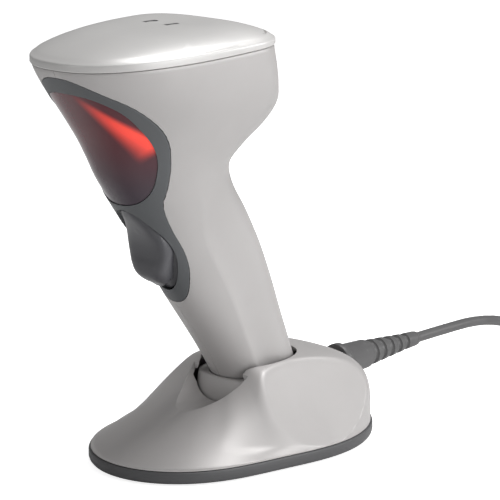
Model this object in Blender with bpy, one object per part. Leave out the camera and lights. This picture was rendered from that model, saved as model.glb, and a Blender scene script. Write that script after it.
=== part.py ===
"""Omnidirectional handheld barcode scanner docked in a tilting desk stand.

Every dimension is in millimetres in this file and is scaled to metres when a mesh is made.
The front of the scanner faces -Y, +Z is up and the plane X = 0 is the mid-plane.
"""
import math

import bpy
import bmesh
from mathutils import Matrix, Vector

MM = 0.001
GAP = 0.3

# ---------------------------------------------------------------- handset body
# height, front line, rear line, half width, front power, rear power, widest fraction
HANDSET_STATIONS = (
    (14.0, 27.0, 62.0, 16.0, 2.1, 2.1, 0.50),
    (30.0, 17.0, 56.5, 16.3, 2.1, 2.1, 0.50),
    (44.0, 8.0, 51.3, 16.6, 2.1, 2.1, 0.50),
    (56.0, -0.6, 46.8, 16.8, 2.1, 2.1, 0.50),
    (72.0, -12.4, 41.0, 17.2, 2.1, 2.1, 0.50),
    (88.0, -23.4, 34.1, 17.8, 2.1, 2.1, 0.50),
    (104.0, -33.8, 25.0, 19.0, 2.1, 2.1, 0.50),
    (118.0, -43.2, 15.5, 21.0, 2.1, 2.1, 0.50),
    (128.0, -49.3, 12.4, 23.2, 2.15, 2.2, 0.52),
    (136.0, -52.9, 19.4, 26.3, 2.2, 2.3, 0.55),
    (144.0, -56.6, 27.8, 30.5, 2.25, 2.4, 0.60),
    (152.0, -61.2, 30.4, 34.6, 2.3, 2.5, 0.66),
    (160.0, -66.1, 26.6, 37.6, 2.35, 2.7, 0.70),
    (168.0, -71.3, 23.3, 39.0, 2.4, 2.8, 0.73),
    (176.0, -76.1, 21.0, 39.6, 2.4, 2.8, 0.74),
    (186.0, -79.5, 19.5, 39.8, 2.4, 2.8, 0.74),
)
LEVEL_TILT = math.radians(2.9)
HOUSING_TOP = 177.2
HOUSING_BOTTOM = 18.3
HOUSING_WALL = 2.4
HOUSING_SIDES = 36
SCREW_Y = -8.0
SCREW_Z = 126.0
LID_EDGE = 3.2
LID_CROWN = 6.5
LID_CROWN_POWER = 4.0
LID_REAR_DROP = 0.8
LID_SLOTS = ((-6.2, -18.0), (6.2, -18.0))
LID_WALL = 2.2

# bezel, window and trigger openings: share of the way down, half angle round the body
BEZEL_TOP = 174.0
BEZEL_BOTTOM = 70.9
BEZEL_ROWS = 16
BEZEL_COLUMNS = 10
BEZEL_EDGE = (
    (0.0, 0.0), (0.08, 10.5), (0.15, 21.5), (0.215, 34.4), (0.30, 46.3), (0.40, 57.0),
    (0.445, 60.6), (0.485, 58.5), (0.53, 49.0), (0.60, 46.0), (0.67, 47.6), (0.73, 44.8),
    (0.80, 36.5), (0.87, 26.5), (0.94, 14.0), (1.0, 0.0),
)
WINDOW_TOP = 167.2
WINDOW_BOTTOM = 117.3
WINDOW_EDGE = (
    (0.0, 0.0), (0.08, 11.0), (0.15, 18.7), (0.26, 29.2), (0.37, 36.2), (0.46, 42.5),
    (0.55, 48.0), (0.61, 49.8), (0.70, 48.2), (0.80, 38.5), (0.91, 21.0), (1.0, 0.0),
)
TRIGGER_TOP = 114.5
TRIGGER_BOTTOM = 77.0
TRIGGER_EDGE = (
    (0.0, 0.0), (0.11, 11.6), (0.285, 26.0), (0.40, 34.8), (0.51, 37.2), (0.61, 33.4),
    (0.80, 19.0), (1.0, 0.0),
)
TRIGGER_PIVOT = (0.0, -27.6, 106.5)

# ---------------------------------------------------------------- optics and electronics
POLYGON_CENTRE = (0.0, -14.0)
CHASSIS_Z = 147.5
CHASSIS_THICK = 2.2
MOTOR_RADIUS = 9.5
MOTOR_HEIGHT = 7.0
POLYGON_SIDE = 20.0
POLYGON_HEIGHT = 6.5
SHAFT_RADIUS = 1.5
PATTERN_RADIUS = 24.0
PATTERN_ANGLES = (-64.0, -23.0, 23.0, 64.0)
HANDLE_LEAN = math.radians(33.0)
PLUNGER_TIP = (0.0, -17.5, 92.4)

# ---------------------------------------------------------------- cup and its pivot
CUP_WALL = 2.6
CUP_CLEARANCE = 0.45
CUP_TOP = 31.0
CUP_HALF_WIDTH = 19.4
CUP_FLOOR = 13.3
CUP_BOTTOM = 10.6
CUP_PIVOT = (0.0, 44.0, 20.0)
PIN_RADIUS = 2.5
# height and front line of the cup, an arc about its pins
CUP_FRONT_REACH = 31.6
CUP_FRONT = tuple(
    (z, CUP_PIVOT[1] - math.sqrt(CUP_FRONT_REACH ** 2 - (z - CUP_PIVOT[2]) ** 2))
    for z in (CUP_BOTTOM, 15.0, 19.0, 23.0, 27.0, CUP_TOP)
)

# ---------------------------------------------------------------- stand
OUTLINE_CENTRE_Y = 15.8
STAND_CENTRE_Y = 22.0
# polar coefficients of the stand outline about its centre, angle measured from the nose
OUTLINE_COEFFICIENTS = (57.7, -6.4, 11.25, 1.0)
RIM_TOP = 6.3
RIM_BOTTOM = 1.0
DOME_TOP = 37.8
STAND_SIDES = 38
# share of a half turn from the nose, exponent of the dome's profile
DOME_BULGE = ((0.0, 0.72), (0.11, 0.82), (0.22, 1.05), (0.36, 1.72), (0.5, 3.3), (1.0, 3.6))
DOME_ROUNDING = ((0.0, 1.0), (0.22, 1.05), (0.5, 0.75), (0.75, 0.26), (1.0, 0.28))
COVER_WALL = 2.4
FACET_EDGE_X = 22.0
FACET_EDGE_Z = 36.0
FACET_SLOPE = 1.15
GLAND_Z = 21.5
SCREW_SPOTS = ((0.0, -33.0), (-20.0, 68.0), (20.0, 68.0))
FOOT_SPOTS = ((-22.0, -18.0), (22.0, -18.0), (-33.0, 56.0), (33.0, 56.0), (0.0, 0.0))
CORD_RADIUS = 2.4


# ================================================================= helpers
def curve_value(rows, column, x):
    """Smooth value of one column of a station table at x (first column is the key)."""
    count = len(rows)
    index = 0
    while index < count - 2 and x > rows[index + 1][0]:
        index += 1

    def slope(j):
        low = max(j - 1, 0)
        high = min(j + 1, count - 1)
        return (rows[high][column] - rows[low][column]) / (rows[high][0] - rows[low][0])

    x0 = rows[index][0]
    step = rows[index + 1][0] - x0
    t = (x - x0) / step
    a = rows[index][column]
    b = rows[index + 1][column]
    return (
        (2 * t ** 3 - 3 * t ** 2 + 1) * a
        + (t ** 3 - 2 * t ** 2 + t) * step * slope(index)
        + (3 * t ** 2 - 2 * t ** 3) * b
        + (t ** 3 - t ** 2) * step * slope(index + 1)
    )


def handset_point(height, angle, inset=0.0):
    """Point on the handset skin: angle 0 is the front, 90 degrees the +X side."""
    values = [curve_value(HANDSET_STATIONS, k, height) for k in range(1, 7)]
    front, rear, half_width, front_power, rear_power, fraction = values
    widest = front + fraction * (rear - front)
    c = math.cos(angle)
    s = math.sin(angle)
    power = front_power if c > 0 else rear_power
    reach = (widest - front - inset) if c > 0 else (rear - widest - inset)
    x = (half_width - inset) * math.copysign(abs(s) ** (2 / power), s)
    y = widest - reach * math.copysign(abs(c) ** (2 / power), c)
    centre = (front + rear) / 2
    z = height + (y - centre) * math.sin(LEVEL_TILT)
    return (x, y, z)


def handset_ring(height, inset=0.0, sides=HOUSING_SIDES):
    """One closed ring of points round the handset skin."""
    return [handset_point(height, 2 * math.pi * i / sides, inset) for i in range(sides)]


def material(name, colour, roughness=0.5, metallic=0.0, alpha=1.0):
    """Principled material of one sub-part."""
    made = bpy.data.materials.new(name)
    made.use_nodes = True
    shader = made.node_tree.nodes["Principled BSDF"]
    shader.inputs["Base Color"].default_value = (*colour, 1.0)
    shader.inputs["Roughness"].default_value = roughness
    shader.inputs["Metallic"].default_value = metallic
    shader.inputs["Alpha"].default_value = alpha
    made.diffuse_color = (*colour, alpha)
    return made


def empty(name, location, parent=None):
    """Frame marker that other pieces are parented to."""
    frame = bpy.data.objects.new(name, None)
    bpy.context.collection.objects.link(frame)
    frame.location = Vector(location) * MM
    if parent is not None:
        frame.location -= parent.matrix_world.translation
        frame.parent = parent
    bpy.context.view_layer.update()
    return frame


def new_object(name, verts, faces, frame, look, origin=None):
    """Mesh object with vertices given in millimetres in the world."""
    base = Vector(origin) * MM if origin is not None else frame.matrix_world.translation
    mesh = bpy.data.meshes.new(name)
    points = [Vector(v) * MM - base for v in verts]
    mesh.from_pydata(points, [], faces)
    mesh.validate()
    edit = bmesh.new()
    edit.from_mesh(mesh)
    bmesh.ops.recalc_face_normals(edit, faces=edit.faces)
    edit.to_mesh(mesh)
    edit.free()
    made = bpy.data.objects.new(name, mesh)
    bpy.context.collection.objects.link(made)
    if look is not None:
        mesh.materials.append(look)
    if frame is not None:
        made.parent = frame
        made.location = base - frame.matrix_world.translation
    else:
        made.location = base
    bpy.context.view_layer.update()
    return made


def loft(rings):
    """Closed solid through rings of equal point count."""
    count = len(rings[0])
    verts = [p for ring in rings for p in ring]
    faces = []
    for level in range(len(rings) - 1):
        low = level * count
        high = low + count
        for i in range(count):
            j = (i + 1) % count
            faces.append((low + i, low + j, high + j, high + i))
    faces.append(tuple(range(count))[::-1])
    last = (len(rings) - 1) * count
    faces.append(tuple(range(last, last + count)))
    return verts, faces


def placed(points, centre, turn=(0.0, 0.0, 0.0)):
    """Points turned about the axes in degrees and moved to a centre."""
    matrix = Matrix.Identity(3)
    for axis, degrees in zip("XYZ", turn):
        matrix = Matrix.Rotation(math.radians(degrees), 3, axis) @ matrix
    return [matrix @ Vector(p) + Vector(centre) for p in points]


def box(centre, size, turn=(0.0, 0.0, 0.0)):
    """Rectangular solid."""
    hx, hy, hz = size[0] / 2, size[1] / 2, size[2] / 2
    rings = [[(-hx, -hy, z), (hx, -hy, z), (hx, hy, z), (-hx, hy, z)] for z in (-hz, hz)]
    verts, faces = loft(rings)
    return placed(verts, centre, turn), faces


def turned(profile, centre, turn=(0.0, 0.0, 0.0), sides=24):
    """Solid of revolution about local Z through (radius, z) profile points."""
    rings = []
    for radius, z in profile:
        ring = []
        for i in range(sides):
            a = 2 * math.pi * i / sides
            ring.append((radius * math.cos(a), radius * math.sin(a), z))
        rings.append(ring)
    verts, faces = loft(rings)
    return placed(verts, centre, turn), faces


def rod(centre, radius, length, turn=(0.0, 0.0, 0.0), sides=24):
    """Plain cylinder centred on a point."""
    return turned([(radius, -length / 2), (radius, length / 2)], centre, turn, sides)


def prism(outline, z_low, z_high):
    """Upright solid over a plan outline."""
    return loft([[(x, y, z) for x, y in outline] for z in (z_low, z_high)])


def cut(target, solid, operation="DIFFERENCE", solver="EXACT"):
    """Boolean of a target object with a (verts, faces) solid."""
    tool = new_object(target.name + "_tool", solid[0], solid[1], None, None, (0, 0, 0))
    tool.hide_render = True
    tool.display_type = "WIRE"
    step = target.modifiers.new("cut", "BOOLEAN")
    step.operation = operation
    step.solver = solver
    step.object = tool
    bpy.context.view_layer.update()
    shape = bpy.data.meshes.new_from_object(
        target.evaluated_get(bpy.context.evaluated_depsgraph_get())
    )
    target.modifiers.clear()
    target.data = shape
    bpy.data.objects.remove(tool)
    bpy.context.view_layer.update()


def smooth(target, degrees=35.0):
    """Triangulated faces with slivers dissolved, shaded smooth with sharp edges kept."""
    edit = bmesh.new()
    edit.from_mesh(target.data)
    bmesh.ops.dissolve_degenerate(edit, dist=1e-6, edges=edit.edges)
    bmesh.ops.triangulate(edit, faces=edit.faces)
    edit.to_mesh(target.data)
    edit.free()
    target.data.shade_smooth()
    target.data.set_sharp_from_angle(angle=math.radians(degrees))


def patch(top, bottom, edge, outer, inner, widen=0.0, rows=12, columns=8):
    """Curved slab that follows the handset skin inside a rounded outline."""
    middle = (top + bottom) / 2
    half = (top - bottom) / 2 + widen
    layers = []
    for inset in (outer, inner):
        grid = []
        for i in range(1, rows):
            share = i / rows
            height = middle + half * math.cos(math.pi * share)
            reach = math.radians(curve_value(edge, 1, share)) + widen * 0.03
            line = []
            for j in range(columns + 1):
                across = 2 * j / columns - 1
                line.append(handset_point(height, reach * across, inset))
            grid.append(line)
        tip_low = handset_point(middle - half, 0.0, inset)
        tip_high = handset_point(middle + half, 0.0, inset)
        layers.append((grid, tip_high, tip_low))
    verts = []
    index = []
    for grid, high, low in layers:
        start = len(verts)
        for line in grid:
            verts.extend(line)
        verts.append(high)
        verts.append(low)
        index.append(start)
    width = columns + 1
    count = rows - 1
    faces = []
    for start in index:
        high = start + count * width
        low = high + 1
        for i in range(count - 1):
            for j in range(columns):
                a = start + i * width + j
                faces.append((a, a + 1, a + 1 + width, a + width))
        for j in range(columns):
            faces.append((high, start + j + 1, start + j))
            last = start + (count - 1) * width
            faces.append((low, last + j, last + j + 1))
    first, second = index
    border = [first + count * width]
    border += [first + i * width + columns for i in range(count)]
    border += [first + count * width + 1]
    border += [first + i * width for i in range(count - 1, -1, -1)]
    shift = second - first
    for i, a in enumerate(border):
        b = border[(i + 1) % len(border)]
        faces.append((a, b, b + shift, a + shift))
    return verts, faces


# ================================================================= handset shell
def housing_half(name, side, frame, look):
    """One half of the head and handle moulding, open at the front for the bezel."""
    heights = [HOUSING_BOTTOM] + [h for h, *_ in HANDSET_STATIONS if 18.5 < h < 178.0]
    heights.append(HOUSING_TOP)
    outer = loft([handset_ring(h) for h in heights])
    inner_heights = [HOUSING_BOTTOM - 6.0] + heights[1:-1] + [HOUSING_TOP + 8.0]
    inner = loft([handset_ring(h, HOUSING_WALL) for h in inner_heights])
    shell = new_object(name, outer[0], outer[1], frame, look)
    cut(shell, inner)
    cut(shell, box((-side * 60.0 + side * GAP / 2, 0.0, 100.0), (120.0, 260.0, 260.0)))
    cut(shell, patch(BEZEL_TOP, BEZEL_BOTTOM, BEZEL_EDGE, -4.0, 7.0, 2.2 * GAP, BEZEL_ROWS, BEZEL_COLUMNS))
    boss = rod((side * 10.8, SCREW_Y, SCREW_Z), 3.6, 20.4, (0, 90, 0), 20)
    cut(shell, boss, "UNION")
    reach = 60.0 if side < 0 else 21.0
    cut(shell, rod((0.0, SCREW_Y, SCREW_Z), 1.6, reach, (0, 90, 0), 16))
    if side < 0:
        cut(shell, rod((-24.0, SCREW_Y, SCREW_Z), 3.0, 9.0, (0, 90, 0), 20))
    smooth(shell)
    return shell


def lid(frame, look):
    """Crowned cover over the head with a straight edge band and two slots."""
    rings = []
    base = HOUSING_TOP + GAP

    def crown_ring(scale, lift, inset):
        outline = handset_ring(base, inset)
        centre_y = sum(p[1] for p in outline) / len(outline)
        centre_z = sum(p[2] for p in outline) / len(outline)
        ring = []
        for x, y, z in outline:
            thin = LID_REAR_DROP * max(0.0, (y - centre_y) / 50.0) * min(lift / LID_EDGE, 1.0)
            ring.append((
                x * scale,
                centre_y + (y - centre_y) * scale,
                centre_z + (z - centre_z) * scale + lift - thin,
            ))
        return ring

    def crown(scale):
        return LID_CROWN * (1.0 - scale ** LID_CROWN_POWER)

    scales = (0.985, 0.92, 0.80, 0.55)
    for scale in reversed(scales):
        rings.append(crown_ring(scale, LID_EDGE + crown(scale) - LID_WALL, 2.6))
    rings.append(crown_ring(1.0, 0.0, 2.6))
    rings.append(crown_ring(1.0, 0.0, -0.5))
    rings.append(crown_ring(1.0, LID_EDGE * 0.8, -0.5))
    for scale in scales:
        rings.append(crown_ring(scale, LID_EDGE + crown(scale), -0.5))
    verts, faces = loft(rings)
    made = new_object("top_cover", verts, faces, frame, look)
    for x, y in LID_SLOTS:
        cut(made, box((x, y, 188.0), (2.8, 7.6, 22.0)))
    smooth(made, 30.0)
    return made


def bezel(frame, look):
    """Hourglass bezel with the window opening and the trigger opening."""
    solid = patch(BEZEL_TOP, BEZEL_BOTTOM, BEZEL_EDGE, 0.0, HOUSING_WALL, 0.0, BEZEL_ROWS, BEZEL_COLUMNS)
    made = new_object("front_bezel", solid[0], solid[1], frame, look)
    cut(made, patch(WINDOW_TOP, WINDOW_BOTTOM, WINDOW_EDGE, -4.0, 7.0, widen=1.3 * GAP))
    cut(made, patch(TRIGGER_TOP, TRIGGER_BOTTOM, TRIGGER_EDGE, -4.0, 9.0, widen=1.4 * GAP))
    smooth(made)
    return made


def window(frame, looks):
    """Curved scan window and the gasket ring behind its edge."""
    glass = patch(WINDOW_TOP, WINDOW_BOTTOM, WINDOW_EDGE, 0.4, 2.3)
    pane = new_object("scan_window", glass[0], glass[1], frame, looks["window"])
    smooth(pane)
    ring = patch(WINDOW_TOP, WINDOW_BOTTOM, WINDOW_EDGE, 3.0, 4.0, widen=1.6)
    gasket = new_object("window_gasket", ring[0], ring[1], frame, looks["rubber"])
    cut(gasket, patch(WINDOW_TOP, WINDOW_BOTTOM, WINDOW_EDGE, 0.0, 8.0, widen=-2.0))
    smooth(gasket)


# ================================================================= trigger group
def trigger(frame, look):
    """Finger lever: flush with the bezel at its pivot and standing out at its tip."""
    rows = (
        # height, face y, thickness, half width
        (110.0, -37.4, 6.0, 4.0),
        (106.0, -35.2, 10.4, 6.9),
        (101.0, -32.8, 11.0, 8.8),
        (96.0, -31.2, 11.0, 9.9),
        (91.0, -30.5, 12.0, 10.0),
        (87.0, -30.2, 12.0, 9.0),
        (83.5, -29.0, 12.0, 7.7),
        (81.0, -26.0, 10.0, 6.1),
        (79.3, -22.6, 7.0, 4.5),
    )
    rings = []
    for height, face, thick, half in rows:
        ring = []
        for i in range(20):
            a = 2 * math.pi * i / 20
            c = math.cos(a)
            s = math.sin(a)
            x = half * math.copysign(abs(s) ** 0.75, s)
            y = face + thick / 2 - thick / 2 * math.copysign(abs(c) ** 0.75, c)
            ring.append((x, y, height + (y - face) * 0.45))
        rings.append(ring)
    verts, faces = loft(rings)
    made = new_object("trigger", verts, faces, frame, look, TRIGGER_PIVOT)
    cut(made, rod(TRIGGER_PIVOT, 1.3, 30.0, (0, 90, 0), 16))
    smooth(made, 40.0)


def coil_spring(name, start, direction, length, radius, turns, wire, look, frame):
    """Wire coil wound along a straight line."""
    steps = 10
    axis = Vector(direction)
    across = Vector((1.0, 0.0, 0.0))
    third = axis.cross(across)
    points = []
    for i in range(turns * steps + 1):
        a = 2 * math.pi * i / steps
        along = length * i / (turns * steps)
        points.append(
            Vector(start) + axis * along + across * (radius * math.cos(a)) + third * (radius * math.sin(a))
        )
    tube(name, points, wire / 2, look, frame, 1)


def along_handle(height, depth, side=0.0):
    """Point on the handle's leaning centre line, moved rearward across the handle."""
    front = curve_value(HANDSET_STATIONS, 1, height)
    rear = curve_value(HANDSET_STATIONS, 2, height)
    return (side, (front + rear) / 2 + depth, height)


def trigger_group(frame, looks):
    """Trigger with its pin, spring, switch and plunger."""
    lever = empty("trigger_frame", TRIGGER_PIVOT, frame)
    trigger(lever, looks["dark"])
    pin = rod(TRIGGER_PIVOT, 1.0, 19.0, (0, 90, 0), 16)
    made = new_object("trigger_pin", pin[0], pin[1], frame, looks["steel"], TRIGGER_PIVOT)
    smooth(made)
    lean = math.degrees(HANDLE_LEAN)
    push = Vector((0.0, math.cos(HANDLE_LEAN), math.sin(HANDLE_LEAN)))
    tip = Vector(PLUNGER_TIP)
    head = tip + push * 2.6
    body = tip + push * 8.0
    solid = box(body, (9.0, 6.0, 8.0), (lean, 0, 0))
    switch = new_object("trigger_switch", solid[0], solid[1], frame, looks["black"], body)
    cut(switch, rod(body - push * 3.0, 1.8, 5.0, (90 + lean, 0, 0), 16))
    slider = empty("plunger_frame", head, frame)
    solid = rod(head, 1.4, 5.2, (90 + lean, 0, 0), 16)
    made = new_object("switch_plunger", solid[0], solid[1], slider, looks["white"], head)
    smooth(made)
    start = tip + push * 0.9
    coil_spring("trigger_spring", start, push, 3.6, 2.6, 3, 0.5, looks["steel"], frame)
    spot = tip + push * 12.1 + Vector((0.0, math.sin(HANDLE_LEAN), -math.cos(HANDLE_LEAN))) * 8.0
    plate = box(spot, (20.0, 1.6, 44.0), (lean, 0, 0))
    new_object("handle_board", plate[0], plate[1], frame, looks["board"], spot)


# ================================================================= optics
def optics(frame, looks):
    """Chassis with the laser, the spinning polygon and the fixed mirrors."""
    cx, cy = POLYGON_CENTRE
    deck = CHASSIS_Z + CHASSIS_THICK
    rings = []
    for z in (CHASSIS_Z, deck):
        outline = handset_ring(CHASSIS_Z - 3.0, HOUSING_WALL + 2.0, 32)
        rings.append([(x, y, z) for x, y, _ in outline])
    verts, faces = loft(rings)
    chassis = new_object("optics_chassis", verts, faces, frame, looks["black"])
    for side in (-1, 1):
        cut(chassis, rod((side * 22.0, -24.0, deck), 1.7, 12.0, sides=16))
        screw = turned(
            [(1.3, -5.0), (1.3, 0.4), (2.8, 0.4), (2.8, 2.2)], (side * 22.0, -24.0, deck), sides=16
        )
        made = new_object(
            "chassis_screw_left" if side < 0 else "chassis_screw_right",
            screw[0], screw[1], frame, looks["steel"],
        )
        smooth(made)
    floor = deck + GAP
    motor = turned([(MOTOR_RADIUS, 0), (MOTOR_RADIUS, 5.5), (4.0, MOTOR_HEIGHT)], (cx, cy, floor))
    made = new_object("polygon_motor", motor[0], motor[1], frame, looks["steel"])
    cut(made, rod((cx, cy, floor + 6.0), SHAFT_RADIUS + GAP, 9.0, sides=20))
    smooth(made)
    spin_z = floor + MOTOR_HEIGHT + 1.0 + POLYGON_HEIGHT / 2
    spinner = empty("polygon_frame", (cx, cy, spin_z), frame)
    half = POLYGON_SIDE / 2
    corner = [(cx - half, cy - half), (cx + half, cy - half), (cx + half, cy + half), (cx - half, cy + half)]
    block = prism(corner, spin_z - POLYGON_HEIGHT / 2, spin_z + POLYGON_HEIGHT / 2)
    made = new_object("polygon_mirror", block[0], block[1], spinner, looks["mirror"], (cx, cy, spin_z))
    cut(made, rod((cx, cy, spin_z), SHAFT_RADIUS + 0.1, 20.0, sides=20))
    shaft = rod((cx, cy, floor + 9.4), SHAFT_RADIUS, 14.8, sides=20)
    made = new_object("motor_shaft", shaft[0], shaft[1], spinner, looks["steel"], (cx, cy, spin_z))
    smooth(made)
    for number, degrees in enumerate(PATTERN_ANGLES, start=1):
        a = math.radians(degrees)
        spot = (cx + PATTERN_RADIUS * math.sin(a), cy + PATTERN_RADIUS * math.cos(a), floor + 9.4)
        plate = box(spot, (13.0, 1.5, 16.0), (12.0, 0.0, -degrees))
        new_object("pattern_mirror_%d" % number, plate[0], plate[1], frame, looks["mirror"], spot)
    spot = (15.0, -33.0, floor + 6.0)
    block = box(spot, (10.0, 14.0, 11.6), (0, 0, 37))
    holder = new_object("laser_holder", block[0], block[1], frame, looks["black"], spot)
    cut(holder, rod(spot, 3.8, 30.0, (90, 0, 37), 20))
    tube = rod(spot, 3.4, 17.0, (90, 0, 37), 20)
    made = new_object("laser_module", tube[0], tube[1], frame, looks["brass"], spot)
    smooth(made)
    spot = (-17.0, -38.0, floor + 8.2)
    plate = box(spot, (20.0, 1.8, 15.0), (-10.0, 0.0, -35))
    new_object("collector_mirror", plate[0], plate[1], frame, looks["mirror"], spot)
    spot = (0.0, -46.0, floor + 5.2)
    block = box(spot, (8.0, 4.0, 10.0))
    new_object("photodetector", block[0], block[1], frame, looks["black"], spot)


def electronics(frame, looks):
    """Boards, beeper, light pipes and battery."""
    outline = handset_ring(167.0, HOUSING_WALL + 3.0, 32)
    rings = [[(x, y, z) for x, y, _ in outline] for z in (174.0, 175.6)]
    verts, faces = loft(rings)
    new_object("main_board", verts, faces, frame, looks["board"])
    disc = turned([(6.5, 0), (7.0, 1.0), (7.0, 4.0), (3.0, 5.0)], (22.0, -24.0, 168.6))
    made = new_object("beeper", disc[0], disc[1], frame, looks["black"])
    smooth(made)
    for (x, y), name in zip(LID_SLOTS, ("light_pipe_left", "light_pipe_right")):
        block = box((x, y, 181.0), (2.2, 6.6, 9.2))
        new_object(name, block[0], block[1], frame, looks["lens"])
    lean = math.degrees(HANDLE_LEAN)
    spot = along_handle(47.0, 0.0)
    cell = turned([(8.6, -21.0), (9.2, -20.0), (9.2, 20.0), (8.6, 21.0)], spot, (lean, 0, 0), 28)
    made = new_object("battery_cell", cell[0], cell[1], frame, looks["blue"], spot)
    smooth(made)


def handle_end(frame, looks):
    """Cap that closes the handle, with two charging contacts."""
    rings = [handset_ring(h, 0.2, 32) for h in (14.0, HOUSING_BOTTOM - GAP)]
    verts, faces = loft(rings)
    cap = new_object("handle_end_cap", verts, faces, frame, looks["dark"])
    middle = along_handle(14.0, 0.0)[1]
    for side, name in ((-1, "charge_contact_left"), (1, "charge_contact_right")):
        spot = (side * 5.0, middle, 16.5)
        cut(cap, rod(spot, 1.5, 12.0, sides=16))
        stud = rod(spot, 1.2, 5.0, sides=16)
        made = new_object(name, stud[0], stud[1], frame, looks["gold"])
        smooth(made)


def handle_screw(frame, looks):
    """Screw that joins the two housing halves, driven from the -X side."""
    profile = [(1.2, -28.0), (1.2, 0.0), (2.6, 0.0), (2.6, 1.9)]
    solid = turned(profile, (-19.8, SCREW_Y, SCREW_Z), (0, -90, 0), 16)
    made = new_object("housing_screw", solid[0], solid[1], frame, looks["steel"])
    smooth(made)


# ================================================================= cup
def cup_ring(height, front, grow=0.0, sides=36):
    """Outline of the cup at a height: blunt at the front, rounder at the rear."""
    rear = handset_point(height, math.pi, -CUP_WALL - CUP_CLEARANCE)[1]
    middle = (front + rear) / 2
    ring = []
    for i in range(sides):
        a = 2 * math.pi * i / sides
        c = math.cos(a)
        s = math.sin(a)
        power = 3.4 if c > 0 else 2.3
        x = (CUP_HALF_WIDTH + grow) * math.copysign(abs(s) ** (2 / power), s)
        y = middle - ((rear - front) / 2 + grow) * math.copysign(abs(c) ** (2 / power), c)
        ring.append((x, y, height))
    return ring


def cup(frame, looks):
    """Cup that holds the handle's end and tilts on two pins."""
    outer = loft([cup_ring(height, front) for height, front in CUP_FRONT])
    inner_heights = (CUP_FLOOR, 16.0, 20.0, 27.0, CUP_TOP + 3.0)
    inner = loft([handset_ring(h, -CUP_CLEARANCE, 36) for h in inner_heights])
    made = new_object("tilt_cup", outer[0], outer[1], frame, looks["light"], CUP_PIVOT)
    cut(made, inner)
    middle = along_handle(14.0, 0.0)[1]
    cut(made, box((0, middle, 12.0), (17.0, 9.0, 9.0)))
    _, py, pz = CUP_PIVOT
    for side, name in ((-1, "pivot_pin_left"), (1, "pivot_pin_right")):
        cut(made, rod((side * 19.0, py, pz), PIN_RADIUS + GAP, 8.0, (0, 90, 0), 24))
        profile = [(PIN_RADIUS, -8.6), (PIN_RADIUS, 0.0), (4.0, 0.0), (4.0, 1.2)]
        pin = turned(profile, (side * 25.6, py, pz), (0, side * 90, 0), 24)
        axle = new_object(name, pin[0], pin[1], frame, looks["steel"], (side * 20.0, py, pz))
        smooth(axle)
    smooth(made)
    block = box((0, middle, 11.6), (16.4, 8.4, 2.6))
    carrier = new_object("contact_block", block[0], block[1], frame, looks["black"])
    for side, name in ((-1, "spring_contact_left"), (1, "spring_contact_right")):
        spot = (side * 5.0, middle, 11.6)
        cut(carrier, rod(spot, 1.3, 8.0, sides=16))
        stud = turned([(1.0, -1.2), (1.0, 1.6), (0.5, 2.0)], spot, sides=16)
        contact = new_object(name, stud[0], stud[1], frame, looks["gold"])
        smooth(contact)


# ================================================================= stand
def edge_point(turn):
    """Point of the stand's edge in polar form about the middle of its outline."""
    a0, a1, a2, a3 = OUTLINE_COEFFICIENTS
    r = a0 + a1 * math.cos(turn) + a2 * math.cos(2 * turn) + a3 * math.cos(3 * turn)
    return r * math.sin(turn), OUTLINE_CENTRE_Y - r * math.cos(turn)


def outline_radius(angle):
    """Distance from the stand's centre to its edge; angle 0 points at the nose."""
    sign = -1.0 if math.sin(angle) < 0 else 1.0
    target = math.acos(max(-1.0, min(1.0, math.cos(angle))))
    low = 0.0
    high = math.pi
    for _ in range(40):
        turn = (low + high) / 2
        x, y = edge_point(sign * turn)
        if math.atan2(sign * x, STAND_CENTRE_Y - y) < target:
            low = turn
        else:
            high = turn
    return math.hypot(x, STAND_CENTRE_Y - y)


def outline(inset=0.0, sides=STAND_SIDES):
    """Plan outline of the stand."""
    points = []
    for i in range(sides):
        a = 2 * math.pi * i / sides
        r = outline_radius(a) - inset
        points.append((r * math.sin(a), STAND_CENTRE_Y - r * math.cos(a)))
    return points


def dome_height(share, angle):
    """Height of the stand's skin at a share of the way from its centre to its edge."""
    turn = abs((angle + math.pi) % (2 * math.pi) - math.pi) / math.pi
    bulge = curve_value(DOME_BULGE, 1, turn)
    round_off = curve_value(DOME_ROUNDING, 1, turn)
    rise = max(1.0 - share ** bulge, 0.0) ** round_off
    skin = RIM_TOP + GAP + (DOME_TOP - RIM_TOP) * rise
    x = abs(share * outline_radius(angle) * math.sin(angle))
    facet = FACET_EDGE_Z - FACET_SLOPE * (x - FACET_EDGE_X)
    hollow = 1.2 * math.sin(math.pi * min(max((x - FACET_EDGE_X) / 26.0, 0.0), 1.0))
    return min(skin, max(facet - hollow, RIM_TOP + GAP))


def dome(inset, drop, shares, sides=STAND_SIDES):
    """Solid dome; inset narrows it and drop lowers it."""
    rings = []
    floor = RIM_TOP + GAP - (6.0 if drop else 0.0)
    rings.append([(x, y, floor) for x, y in outline(inset, sides)])
    for share in shares:
        ring = []
        for i in range(sides):
            a = 2 * math.pi * i / sides
            r = (outline_radius(a) - inset) * share
            z = dome_height(share, a) - drop
            lift = 0.8 if share == 1.0 and not drop else 0.0
            ring.append((r * math.sin(a), STAND_CENTRE_Y - r * math.cos(a), max(z + lift, floor + 0.5)))
        rings.append(ring)
    return loft(rings)


def scoop(grow=0.0):
    """Trough in front of the cup, cut level into the sloping nose."""
    rings = []
    for y in (-34.0, -20.0, -6.0, 16.0):
        ring = []
        for i in range(28):
            a = 2 * math.pi * i / 28
            ring.append(((16.6 + grow) * math.sin(a), y - grow, 37.5 - (16.6 + grow) * math.cos(a)))
        rings.append(ring)
    return loft(rings)


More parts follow.
